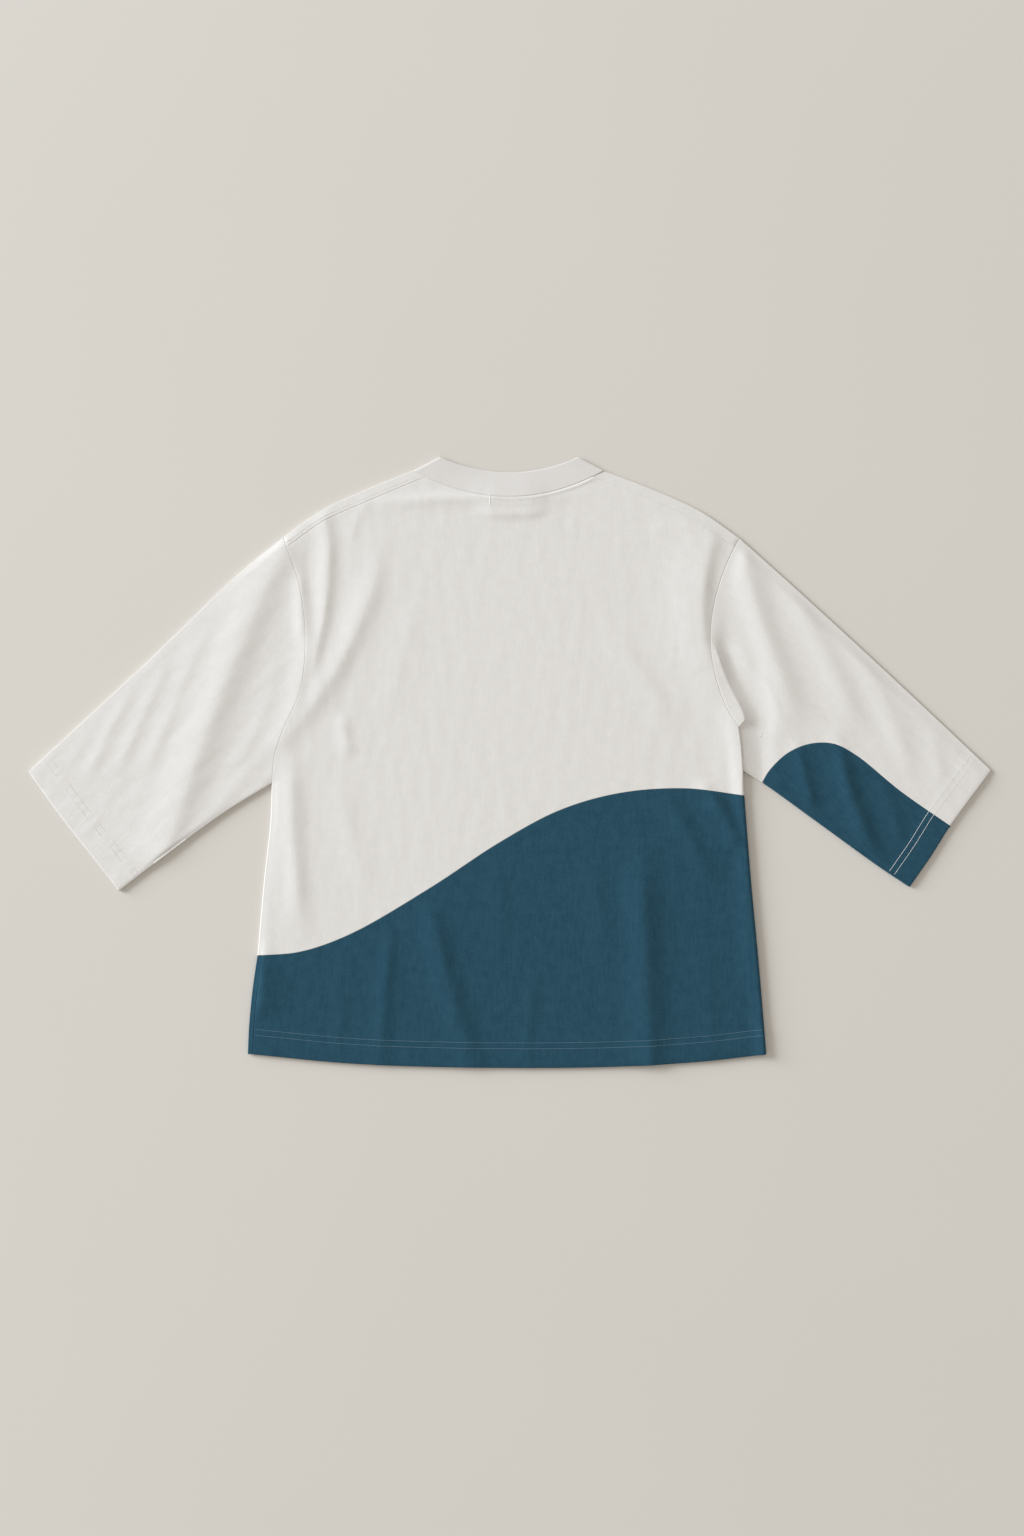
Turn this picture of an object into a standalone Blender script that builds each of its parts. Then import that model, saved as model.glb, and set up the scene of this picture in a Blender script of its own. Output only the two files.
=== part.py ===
"""An oversized T-shirt with three-quarter sleeves, laid flat with its back up.

X runs across the shirt, Y from hem to collar and Z up from the surface that it lies on. The front
lies flat underneath, the back lies on it with its folds, each sleeve is a flattened tube, and the
rib collar is a flattened ring. Every piece that is cut and sewn is one cloth wall of its own.
"""
import math
from collections import namedtuple

import bmesh
import bpy
from mathutils import Vector

MM = 0.001                    # the sizes below are in millimetres

CLOTH = 1.2                   # wall of the jersey
TURNED = 2.0                  # wall where a hem is turned up inside
RIB = 2.0                     # wall of the doubled collar rib
SEAM_GAP = 0.3                # between two pieces that are sewn together
TOP = 3.6                     # top of the upper layer where it lies smooth
EDGE_TOP = 2.7                # top of the upper layer along a side seam
HEM_TOP = 4.3                 # top of the upper layer over a turned-up hem
HEM = 24.0                    # depth of the body hem
CUFF_HEM = 28.0               # depth of the sleeve hems
TURN = 1.0                    # run of the step where a hem's inside edge ends
UNDERARM_SEAM = 3.0           # underarm seam of a sleeve, in from its edge, on the upper layer
RIB_TOP = 4.4                 # top of the rib at its two folded ends
RIB_SAG = 2.6                 # top of the rib at its free edge, midway
PLEAT_FOOT = 2.8              # top of the right sleeve where its pleat has dropped beside the body
PLEAT_RUN = 2.5               # run of that drop
UNDERARM_TOP = 4.8            # top of the back where the right sleeve comes out from under it

SHOULDER_COLUMNS = 12
NECK_COLUMNS = 14
ARM_ROWS = 12                 # rows of the back along the left armhole
EAR_ROWS = 12                 # rows of the back along the right armhole, to its pleat's end
TUCK_ROWS = 3                 # rows from there to the right underarm
BODY_ROWS = 18                # rows of the back from the shoulder seam to the colour-block seam
LOWER_ROWS = 8                # rows from that seam to the hem
SLEEVE_ROWS = 11              # sections of a sleeve from armhole to hem
WAVE_ROWS = 12                # sections of the right sleeve beside its blue inset
WAVE_COLUMNS = 6              # columns of the inset, from the wave to the underarm edge
WAVE_SPREAD = 1.3             # how much closer its sections stand where the wave rises
LEAST_STEP = 2.0              # least distance between two sections along a sleeve's edge
PLEAT_ROWS = 6                # rows of the pleat beside the right armhole
PLEAT_STEP = 2.0              # least distance from the armhole seam to the pleat's crest
PLEAT_EASE = 2                # points over which the drop beside the pleat grows to its full depth
RIB_SLIDE = 0.2               # how far the seam side of the rib's ends stands off the neck point
RIB_LEAN = RIB_TOP / 3        # how much further its top side stands off than its underside
RIB_RISE_STEPS = 3            # columns of the rib's ends that stay up on the layer beneath
FOLD_TURNS = (90, 45, 0, -45, -90)   # section of a folded edge, in degrees, from top to underside
SHARP = math.radians(40)      # turn from which an edge of the cloth shows as a corner

WHITE = (0.80, 0.78, 0.74, 1.0)
BLUE = (0.026, 0.072, 0.108, 1.0)
RIB_WHITE = (0.77, 0.75, 0.71, 1.0)
MATT = 0.9                    # roughness of the cotton

Spot = namedtuple("Spot", "x y")
# start, middle and end of a fold, its half widths left and right of the crest, and its rise
Fold = namedtuple("Fold", "x0 y0 xm ym x1 y1 left right rise")

# outlines and seams, a few spots each, from the top of the shirt or from the armhole outwards
SHOULDER_LEFT = (Spot(-272, 270), Spot(-228, 301), Spot(-180, 324), Spot(-116, 350))
SHOULDER_RIGHT = (Spot(276, 269), Spot(228, 302), Spot(168, 329), Spot(113, 350))
SEAM_LEFT = (Spot(-268, 258), Spot(-224, 289), Spot(-176, 311), Spot(-101, 342.5))
SEAM_RIGHT = (Spot(269.5, 259), Spot(222, 291), Spot(163, 318), Spot(99, 342.5))
NECK_BACK_LOW = 318.5         # lowest point of the collar seam on the back
NECK_FRONT_LOW = 257.0        # and on the front
NECK_MARGIN = 2.0             # least distance from the front neckline to the next row of points
COLLAR_BACK_LOW = 348.0       # lowest point of the collar's free edge on the back
COLLAR_FRONT_LOW = 287.0      # and on the front
COLLAR_END_LEFT = Spot(-84, 366.5)
COLLAR_END_RIGHT = Spot(82, 366.5)
ARMHOLE_LEFT = (Spot(-268, 258), Spot(-254, 219), Spot(-246, 168), Spot(-246, 125), Spot(-252, 85),
                Spot(-270, 44), Spot(-282, 10), Spot(-286, -25))
ARMHOLE_RIGHT = (Spot(269.5, 259), Spot(257, 231), Spot(246, 195), Spot(240.5, 158), Spot(242, 125),
                 Spot(248, 97), Spot(259, 67), Spot(274, 43))
TUCK_RIGHT = (Spot(274, 43), Spot(277, 20), Spot(279.5, -10))
SIDE_LEFT = (Spot(-286, -25), Spot(-288, -69), Spot(-296, -141), Spot(-303, -231.5))
SIDE_RIGHT = (Spot(279.5, -10), Spot(280, -25), Spot(281, -39.5))
SIDE_LEFT_LOW = (Spot(-303, -231.5), Spot(-309, -273), Spot(-313, -315), Spot(-314.5, -349.5))
SIDE_RIGHT_LOW = (Spot(281, -39.5), Spot(289, -141), Spot(298, -237), Spot(307.5, -350))
HEM_EDGE = (Spot(-314.5, -349.5), Spot(-192, -361), Spot(-72, -365.5), Spot(108, -365.5), Spot(228, -359),
            Spot(307.5, -350))
BODY_WAVE = (Spot(-303, -231.5), Spot(-252, -227), Spot(-192, -206), Spot(-96, -150.5), Spot(-12, -95.5),
             Spot(60, -57), Spot(132, -36.5), Spot(210, -31), Spot(281, -39.5))
SLEEVE_TOP_LEFT = (Spot(-272, 270), Spot(-324, 228.5), Spot(-420, 136), Spot(-577.5, -11.5))
SLEEVE_TOP_RIGHT = (Spot(276, 269), Spot(348, 204.5), Spot(468, 94), Spot(577.5, -9))
SLEEVE_UNDER_LEFT = (Spot(-286, -25), Spot(-342, -59.5), Spot(-432, -125.5), Spot(-469, -154))
SLEEVE_UNDER_RIGHT = (Spot(279.5, -10), Spot(302.5, -24))
WAVE_UNDER_RIGHT = (Spot(302.5, -24), Spot(372, -74), Spot(444, -126), Spot(479.5, -149.5))
SLEEVE_WAVE = (Spot(302.5, -24), Spot(312, -8.5), Spot(334, 12), Spot(360, 22.5), Spot(388, 22.5),
               Spot(415, 9), Spot(468, -34), Spot(528, -76))
CUFF_LEFT = (Spot(-577.5, -11.5), Spot(-536, -69), Spot(-498, -117), Spot(-469, -154))
CUFF_RIGHT = (Spot(577.5, -9), Spot(528, -76))
CUFF_WAVE = (Spot(528, -76), Spot(506, -111), Spot(479.5, -149.5))
PLEAT_EDGE = (Spot(243, 147), Spot(249, 129), Spot(260, 99), Spot(279, 60), Spot(281, 51))

FOLDS = (
    # left sleeve: the main crest from the shoulder to the cuff, and the lesser ones beside it
    Fold(-274, 249, -338, 87, -432, -111, 22, 17, 3.2),
    Fold(-260, 205, -290, 120, -324, 27, 15, 13, 1.5),
    Fold(-268, 62, -306, -3, -372, -81, 16, 12, 2.2),
    Fold(-384, 147, -468, 51, -510, -33, 13, 11, 1.2),
    Fold(-330, 190, -402, 80, -468, -40, 13, 11, 0.9),
    # upper back, left: crests that fall from the shoulder towards the underarm
    Fold(-232, 275, -238, 225, -244, 165, 9, 8, 1.6),
    Fold(-214, 283, -218, 195, -242, 87, 9, 9, -0.9),
    Fold(-162, 261, -194, 147, -270, 33, 20, 14, 2.6),
    Fold(-108, 207, -132, 147, -150, 87, 14, 12, 1.0),
    Fold(-268, 3, -268, -100, -266, -200, 9, 10, 1.8),
    # upper back, right: the broad crest beside the armhole, and a slack valley
    Fold(232, 255, 227, 180, 240, 60, 30, 9, 2.4),
    Fold(108, 195, 156, 123, 204, 39, 18, 18, -0.7),
    Fold(268, 50, 270, 20, 272, -25, 18, 14, 1.4),
    # the front rib showing through the back
    Fold(-48, 293, 0, 289, 48, 293, 9, 9, 0.8),
    # lower back
    Fold(-148, -215, -148, -290, -148, -360, 10, 9, 1.4),
    Fold(-94, -153, -78, -237, -50, -335, 14, 12, 1.8),
    Fold(158, -95, 157, -237, 160, -366, 12, 12, 2.8),
    Fold(78, -117, 114, -213, 126, -273, 12, 12, -0.8),
    Fold(238, -39, 264, -87, 286, -140, 9, 8, 1.5),
    Fold(280, -129, 284, -210, 288, -290, 10, 8, 1.0),
    # right sleeve: a fan from the shoulder point, the pleat by the armhole and a fold over the inset
    Fold(276, 243, 296, 177, 326, 99, 14, 12, 2.0),
    Fold(306, 243, 348, 171, 390, 99, 16, 14, 1.2),
    Fold(242, 165, 257, 102, 278, 58, 22, 8, 1.6),
    Fold(258, 140, 272, 95, 290, 40, 9, 14, -0.8),
    Fold(392, 40, 408, -20, 430, -93, 12, 10, 1.8),
    Fold(358, 30, 364, 0, 378, -45, 8, 8, -0.7),
)


class Line:
    """A smooth line through a few spots, read by the distance along it."""

    def __init__(self, spots, steps=12):
        spots = [Vector((spot.x, spot.y)) for spot in spots]
        ends = [2 * spots[0] - spots[1]] + spots + [2 * spots[-1] - spots[-2]]
        self.points = [spots[0]]
        for before, start, end, after in zip(ends, ends[1:], ends[2:], ends[3:]):
            for step in range(1, steps + 1):
                self.points.append(between(before, start, end, after, step / steps))
        self.reach = [0.0]
        for start, end in zip(self.points, self.points[1:]):
            self.reach.append(self.reach[-1] + (end - start).length)
        self.length = self.reach[-1]

    def at(self, distance):
        """The point at a distance from the line's start."""
        for number in range(1, len(self.reach)):
            if distance <= self.reach[number]:
                run = self.reach[number] - self.reach[number - 1]
                share = (distance - self.reach[number - 1]) / run
                return self.points[number - 1].lerp(self.points[number], share)
        return self.points[-1].copy()

    def split(self, count, end=None):
        """Points that divide the line, up to a distance, into equal runs."""
        end = self.length if end is None else end
        return [self.at(end * number / count) for number in range(count + 1)]


def between(before, start, end, after, share):
    """A point of the smooth curve that passes through start and end (Catmull-Rom, centripetal)."""
    knots = [0.0]
    for first, second in ((before, start), (start, end), (end, after)):
        knots.append(knots[-1] + max(math.sqrt((second - first).length), 1e-6))
    place = knots[1] + (knots[2] - knots[1]) * share

    def mixed(first, second, low, high):
        return first * ((high - place) / (high - low)) + second * ((place - low) / (high - low))

    one = mixed(before, start, knots[0], knots[1])
    two = mixed(start, end, knots[1], knots[2])
    three = mixed(end, after, knots[2], knots[3])
    one = mixed(one, two, knots[0], knots[2])
    two = mixed(two, three, knots[1], knots[3])
    return mixed(one, two, knots[1], knots[2])


def joined(*runs):
    """Runs of points made one run, each starting where the last one ends."""
    whole = list(runs[0])
    for run in runs[1:]:
        whole += run[1:]
    return whole


def shares(run):
    """How far along its run each point lies, from 0 to 1."""
    reach = [0.0]
    for start, end in zip(run, run[1:]):
        reach.append(reach[-1] + (end - start).length)
    return [distance / reach[-1] for distance in reach]


def patch(top, bottom, left, right):
    """Rows of points that fill the space between four runs of points."""
    across = [(a + b) / 2 for a, b in zip(shares(top), shares(bottom))]
    down = [(a + b) / 2 for a, b in zip(shares(left), shares(right))]
    rows = []
    for j, v in enumerate(down):
        row = []
        for i, u in enumerate(across):
            point = (1 - v) * top[i] + v * bottom[i] + (1 - u) * left[j] + u * right[j]
            point -= (1 - u) * (1 - v) * top[0] + u * (1 - v) * top[-1]
            point -= (1 - u) * v * bottom[0] + u * v * bottom[-1]
            row.append(point)
        rows.append(row)
    return rows


def stepped(run, inward, gap):
    """Moves that take a run of points away from a seam, square to the run and to its inward side."""
    moves = []
    last = len(run) - 1
    side = 0.0
    for number, point in enumerate(run):
        along = run[min(number + 1, last)] - run[max(number - 1, 0)]
        square = Vector((along.y, -along.x)).normalized()
        side += square.dot((inward[number] - point).normalized())
        moves.append(square * gap)
    return [move if side > 0 else -move for move in moves]


def trim(rows, top=None, bottom=None, left=None, right=None):
    """Draw a patch back by half a seam gap, on each side over the range of points given for it."""
    moves = {}
    last = len(rows) - 1
    sides = (
        (top, [(0, i) for i in range(len(rows[0]))], [(1, i) for i in range(len(rows[0]))]),
        (bottom, [(last, i) for i in range(len(rows[0]))], [(last - 1, i) for i in range(len(rows[0]))]),
        (left, [(j, 0) for j in range(last + 1)], [(j, 1) for j in range(last + 1)]),
        (right, [(j, -1) for j in range(last + 1)], [(j, -2) for j in range(last + 1)]),
    )
    for reach, edge, inside in sides:
        if reach is None:
            continue
        edge, inside = edge[reach[0]:reach[1] + 1], inside[reach[0]:reach[1] + 1]
        run = [rows[j][i] for j, i in edge]
        inward = [rows[j][i] for j, i in inside]
        for key, move in zip(edge, stepped(run, inward, SEAM_GAP / 2)):
            key = (key[0], key[1] % len(rows[0]))
            moves[key] = moves.get(key, Vector((0.0, 0.0))) + move
    for (j, i), move in moves.items():
        rows[j][i] = rows[j][i] + move
    return rows


def smooth(share):
    """An even rise from 0 to 1 that starts and ends softly."""
    share = min(max(share, 0.0), 1.0)
    return share * share * (3 - 2 * share)


class Crest:
    """One fold of the cloth: a soft ridge, or a trough where its rise is less than nothing."""

    STEPS = 10
    FADE = 0.22               # share of its length over which each end dies away
    LEFT_OVER = 0.25          # share of its rise that is left at its very ends

    def __init__(self, fold):
        start, end = Vector((fold.x0, fold.y0)), Vector((fold.x1, fold.y1))
        middle = Vector((fold.xm, fold.ym))
        pull = 2 * middle - (start + end) / 2
        self.fold = fold
        self.path = []
        for step in range(self.STEPS + 1):
            t = step / self.STEPS
            self.path.append((1 - t) ** 2 * start + 2 * t * (1 - t) * pull + t * t * end)

    def rise(self, point):
        nearest, side, place = None, 0.0, 0.0
        for step, (start, end) in enumerate(zip(self.path, self.path[1:])):
            run = end - start
            share = min(max((point - start).dot(run) / run.length_squared, 0.0), 1.0)
            away = point - (start + run * share)
            if nearest is None or away.length < nearest:
                nearest, side, place = away.length, run.cross(away), (step + share) / self.STEPS
        run_down = self.fold.y1 <= self.fold.y0
        width = self.fold.right if (side > 0) == run_down else self.fold.left
        ends = smooth(place / self.FADE) * smooth((1 - place) / self.FADE)
        share = self.LEFT_OVER + (1 - self.LEFT_OVER) * ends
        return self.fold.rise * share * math.exp(-(nearest / width) ** 2)


CRESTS = [Crest(fold) for fold in FOLDS]


def height(point):
    """Top of the upper layer of cloth over a spot of the plan."""
    return max(TOP + sum(crest.rise(point) for crest in CRESTS), EDGE_TOP)


def above(point, z):
    return Vector((point.x, point.y, z))


def turned_edge(edge, inward, top, wall):
    """Outer and inner points round a folded edge, from its top to its underside."""
    radius = top / 2
    centre = above(edge + inward * radius, radius)
    points = []
    for degrees in FOLD_TURNS:
        angle = math.radians(degrees)
        out = above(-inward * math.cos(angle), math.sin(angle))
        points.append((centre + out * radius, centre + out * (radius - wall)))
    return points


def material(name, colour):
    made = bpy.data.materials.new(name)
    made.use_nodes = True
    shader = made.node_tree.nodes["Principled BSDF"]
    shader.inputs["Base Color"].default_value = colour
    shader.inputs["Roughness"].default_value = MATT
    return made


def cloth(name, points, finish):
    """A cloth wall on a grid: points[j][i] is its outer and inner point, or None where there is none."""
    mesh = bmesh.new()
    outer, inner = {}, {}
    cells = set()
    for j in range(len(points) - 1):
        for i in range(len(points[0]) - 1):
            corners = (points[j][i], points[j][i + 1], points[j + 1][i + 1], points[j + 1][i])
            if None not in corners:
                cells.add((j, i))
    for j, i in cells:
        for key in ((j, i), (j, i + 1), (j + 1, i + 1), (j + 1, i)):
            if key not in outer:
                outer[key] = mesh.verts.new(points[key[0]][key[1]][0] * MM)
                inner[key] = mesh.verts.new(points[key[0]][key[1]][1] * MM)
    for j, i in sorted(cells):
        ring = [(j, i), (j, i + 1), (j + 1, i + 1), (j + 1, i)]
        mesh.faces.new([outer[key] for key in ring])
        mesh.faces.new([inner[key] for key in reversed(ring)])
        beyond = ((j - 1, i), (j, i + 1), (j + 1, i), (j, i - 1))
        for number, cell in enumerate(beyond):
            if cell not in cells:
                start, end = ring[number], ring[(number + 1) % 4]
                mesh.faces.new((outer[end], outer[start], inner[start], inner[end]))
    bmesh.ops.recalc_face_normals(mesh, faces=mesh.faces)
    made = bpy.data.meshes.new(name)
    mesh.to_mesh(made)
    mesh.free()
    made.materials.append(finish)
    made.shade_smooth()
    made.set_sharp_from_angle(angle=SHARP)
    piece = bpy.data.objects.new(name, made)
    bpy.context.scene.collection.objects.link(piece)
    return piece


def neck_back(x):
    """The collar seam on the back, as a shallow bowl between the two neck points."""
    left, right = SHOULDER_LEFT[-1], SHOULDER_RIGHT[-1]
    middle, half = (left.x + right.x) / 2, (right.x - left.x) / 2
    return Vector((x, NECK_BACK_LOW + (left.y - NECK_BACK_LOW) * ((x - middle) / half) ** 2))


def bowl(left, right, low, share):
    """The front neckline: half an ellipse hung between two spots, read from left to right."""
    middle, half = (left.x + right.x) / 2, (right.x - left.x) / 2
    angle = math.pi * share
    return Vector((middle - half * math.cos(angle), left.y - (left.y - low) * math.sin(angle)))


def neck_run():
    left, right = SHOULDER_LEFT[-1].x, SHOULDER_RIGHT[-1].x
    return [neck_back(left + (right - left) * n / NECK_COLUMNS) for n in range(NECK_COLUMNS + 1)]


def armhole_left():
    return joined([Line(SHOULDER_LEFT).at(0), Line(ARMHOLE_LEFT).at(0)], Line(ARMHOLE_LEFT).split(ARM_ROWS))


def armhole_right():
    first = [Line(SHOULDER_RIGHT).at(0), Line(ARMHOLE_RIGHT).at(0)]
    return joined(first, Line(ARMHOLE_RIGHT).split(EAR_ROWS), Line(TUCK_RIGHT).split(TUCK_ROWS))


def layered(rows, heights, walls):
    """Outer and inner points of an upper-layer panel, from its heights and wall thicknesses."""
    points = []
    for row, tops, wall in zip(rows, heights, walls):
        points.append([(above(p, z), above(p, z - wall)) for p, z in zip(row, tops)])
    return points


def back_upper(finish):
    """The white upper back. Its right edge stands over the sleeve that comes out from under it."""
    neck = neck_run()
    shoulder_left = Line(SEAM_LEFT).split(SHOULDER_COLUMNS)
    shoulder_right = Line(SEAM_RIGHT).split(SHOULDER_COLUMNS)[::-1]
    shoulder_left[-1], shoulder_right[0] = neck[1], neck[-2]
    top = joined(shoulder_left, neck[1:-1], shoulder_right)
    left = joined(armhole_left()[1:], Line(SIDE_LEFT).split(BODY_ROWS - ARM_ROWS))
    right = joined(armhole_right()[1:], Line(SIDE_RIGHT).split(BODY_ROWS - EAR_ROWS - TUCK_ROWS))
    bottom = Line(BODY_WAVE).split(len(top) - 1)
    rows = patch(top, bottom, left, right)
    last = len(top) - 1
    trim(rows, top=(0, last), bottom=(0, last), left=(0, ARM_ROWS), right=(0, EAR_ROWS + TUCK_ROWS))
    heights = [[height(point) for point in row] for row in rows]
    tuck_end = EAR_ROWS + TUCK_ROWS
    for j in range(len(rows)):
        if j > ARM_ROWS:
            heights[j][0] = EDGE_TOP
        if EAR_ROWS < j <= tuck_end:
            heights[j][-1] = UNDERARM_TOP
        if j > tuck_end:
            down = (j - tuck_end) / (BODY_ROWS - tuck_end)
            heights[j][-1] = UNDERARM_TOP + (EDGE_TOP - UNDERARM_TOP) * down
    return cloth("back_upper", layered(rows, heights, [CLOTH] * len(rows)), finish)


def hem_runs(columns):
    """The line where the hem's inside edge lies, the line just below it, and the hem's edge."""
    edge = Line(HEM_EDGE).split(columns)
    left, right = Line(SIDE_LEFT_LOW), Line(SIDE_RIGHT_LOW)
    runs = []
    for rise in (HEM, HEM - TURN):
        start, end = left.at(left.length - rise), right.at(right.length - rise)
        reach = shares(edge)
        run = []
        for point, share in zip(edge, reach):
            run.append(point + (start - edge[0]).lerp(end - edge[-1], share))
        runs.append(run)
    return runs + [edge]


def lower_rows(columns):
    """Rows of a lower panel, from the colour-block seam to the hem."""
    inside, turn, edge = hem_runs(columns)
    top = Line(BODY_WAVE).split(columns)
    left, right = Line(SIDE_LEFT_LOW), Line(SIDE_RIGHT_LOW)
    down_left = left.split(LOWER_ROWS, left.length - HEM)
    down_right = right.split(LOWER_ROWS, right.length - HEM)
    rows = patch(top, inside, down_left, down_right)
    trim(rows, top=(0, columns))
    return rows + [turn, edge]


def back_lower(finish):
    """The blue lower back, with its hem turned up inside."""
    rows = lower_rows(2 * SHOULDER_COLUMNS + NECK_COLUMNS - 2)
    heights = []
    for j, row in enumerate(rows):
        tops = [height(point) for point in row]
        if j > LOWER_ROWS:
            tops = [max(top, TOP) + HEM_TOP - TOP for top in tops]
            tops[0] = tops[-1] = HEM_TOP
        else:
            tops[0] = tops[-1] = EDGE_TOP
        heights.append(tops)
    walls = [CLOTH] * (LOWER_ROWS + 1) + [TURNED] * 2
    return cloth("back_lower", layered(rows, heights, walls), finish)


def front_lower(finish):
    """The blue lower front, flat on the surface."""
    rows = lower_rows(2 * SHOULDER_COLUMNS + NECK_COLUMNS)
    points = []
    for j, row in enumerate(rows):
        wall = CLOTH if j <= LOWER_ROWS else TURNED
        points.append([(above(point, 0.0), above(point, wall)) for point in row])
    return cloth("front_lower", points, finish)


def clear_of_neck(point):
    """The point itself, or the nearest place beside the front neckline for one that would lie in it."""
    left, right = SHOULDER_LEFT[-1], SHOULDER_RIGHT[-1]
    middle, half = (left.x + right.x) / 2, (right.x - left.x) / 2
    drop = (left.y - point.y) / (left.y - NECK_FRONT_LOW)
    if drop >= 1:
        return point
    room = half * math.sqrt(1 - max(drop, 0.0) ** 2) + NECK_MARGIN
    across = point.x - middle
    return point if abs(across) > room else Vector((middle + math.copysign(room, across), point.y))


def front_upper(finish):
    """The white upper front, flat on the surface and turned over each shoulder up to its seam."""
    shoulder_left = Line(SHOULDER_LEFT).split(SHOULDER_COLUMNS)
    shoulder_right = Line(SHOULDER_RIGHT).split(SHOULDER_COLUMNS)[::-1]
    neck = []
    for number in range(NECK_COLUMNS + 1):
        neck.append(bowl(SHOULDER_LEFT[-1], SHOULDER_RIGHT[-1], NECK_FRONT_LOW, number / NECK_COLUMNS))
    neck[-1] = shoulder_right[0]
    top = joined(shoulder_left, neck, shoulder_right)
    left = joined(armhole_left(), Line(SIDE_LEFT).split(BODY_ROWS - ARM_ROWS))
    right = joined(armhole_right(), Line(SIDE_RIGHT).split(BODY_ROWS - EAR_ROWS - TUCK_ROWS))
    last = len(top) - 1
    rows = patch(top, Line(BODY_WAVE).split(last), left, right)
    rows[1:] = [[clear_of_neck(point) for point in row] for row in rows[1:]]
    neck_start, neck_end = SHOULDER_COLUMNS, SHOULDER_COLUMNS + NECK_COLUMNS
    trim(rows, top=(neck_start, neck_end), bottom=(0, last), left=(0, ARM_ROWS + 1),
         right=(0, EAR_ROWS + TUCK_ROWS + 1))

    points = [[(above(point, 0.0), above(point, CLOTH)) for point in row] for row in rows]
    neck_back_run = neck_run()
    seam_left = Line(SEAM_LEFT).split(SHOULDER_COLUMNS)
    seam_right = Line(SEAM_RIGHT).split(SHOULDER_COLUMNS)[::-1]
    seam_left[-1], seam_right[0] = neck_back_run[1], neck_back_run[-2]
    wraps = [[None] * (last + 1) for _ in FOLD_TURNS]
    for start, seam in ((0, seam_left), (neck_end, seam_right)):
        edge = rows[0][start:start + SHOULDER_COLUMNS + 1]
        back = stepped(seam, edge, SEAM_GAP / 2)
        for number, spot in enumerate(edge):
            inward = (rows[1][start + number] - spot).normalized()
            shift = spot - top[start + number]
            end = seam[number] + back[number] + shift
            wraps[0][start + number] = (above(end, height(end)), above(end, height(end) - CLOTH))
            turned = turned_edge(spot, inward, TOP, CLOTH)
            for turn, pair in enumerate(turned[:-1]):
                wraps[turn + 1][start + number] = pair
            points[0][start + number] = turned[-1]
    return cloth("front_upper", wraps + points, finish)


def sleeve_end(top, under, cuff, columns):
    """Across a sleeve: the line of its hem's inside edge, the line just past it, and its cuff."""
    edge = Line(cuff).split(columns)
    runs = []
    for rise in (CUFF_HEM, CUFF_HEM - TURN):
        start, end = top.at(top.length - rise) - edge[0], under.at(under.length - rise) - edge[-1]
        runs.append([point + start.lerp(end, share) for point, share in zip(edge, shares(edge))])
    return runs + [edge]


def tube_section(row, tops, wall, seam_edge=True):
    """One section of a flattened sleeve, from its underarm seam over the top and back round beneath."""
    inward = (row[1] - row[0]).normalized()
    under_inward = (row[-2] - row[-1]).normalized()
    points = []
    if seam_edge:
        start = row[-1] + under_inward * (UNDERARM_SEAM + SEAM_GAP)
        points.append((above(start, tops[-1]), above(start, tops[-1] - wall)))
    else:
        points.append((above(row[-1], tops[-1]), above(row[-1], tops[-1] - wall)))
    for point, top in list(zip(row, tops))[-2:0:-1]:
        points.append((above(point, top), above(point, top - wall)))
    points += turned_edge(row[0], inward, tops[0], wall)
    points += [(above(point, 0.0), above(point, wall)) for point in row[1:-1]]
    if not seam_edge:
        return points + [(above(row[-1], 0.0), above(row[-1], wall))] + [None] * len(FOLD_TURNS)
    points += turned_edge(row[-1], under_inward, tops[-1], wall)[::-1]
    end = row[-1] + under_inward * UNDERARM_SEAM
    return points + [(above(end, tops[-1]), above(end, tops[-1] - wall))]


def sleeve_left(finish):
    """The left sleeve: one piece of cloth folded round into a flat tube and sewn along the underarm."""
    armhole = armhole_left()
    halved = [armhole[0]]
    for start, end in zip(armhole, armhole[1:]):
        halved += [(start + end) / 2, end]
    top, under = Line(SLEEVE_TOP_LEFT), Line(SLEEVE_UNDER_LEFT)
    inside, turn, cuff = sleeve_end(top, under, CUFF_LEFT, len(halved) - 1)
    rows = patch(halved, inside, top.split(SLEEVE_ROWS, top.length - CUFF_HEM),
                 under.split(SLEEVE_ROWS, under.length - CUFF_HEM))
    trim(rows, top=(0, len(halved) - 1))
    sections = []
    for number, row in enumerate(rows + [turn, cuff]):
        hem = number > SLEEVE_ROWS
        sections.append(tube_section(row, sleeve_heights(row, hem), TURNED if hem else CLOTH))
    return cloth("sleeve_left", sections, finish)


def sleeve_heights(row, hem):
    tops = [height(point) for point in row]
    if hem:
        tops = [max(top, TOP) + HEM_TOP - TOP for top in tops]
    tops[0] = tops[-1] = HEM_TOP if hem else TOP
    return tops


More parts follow.
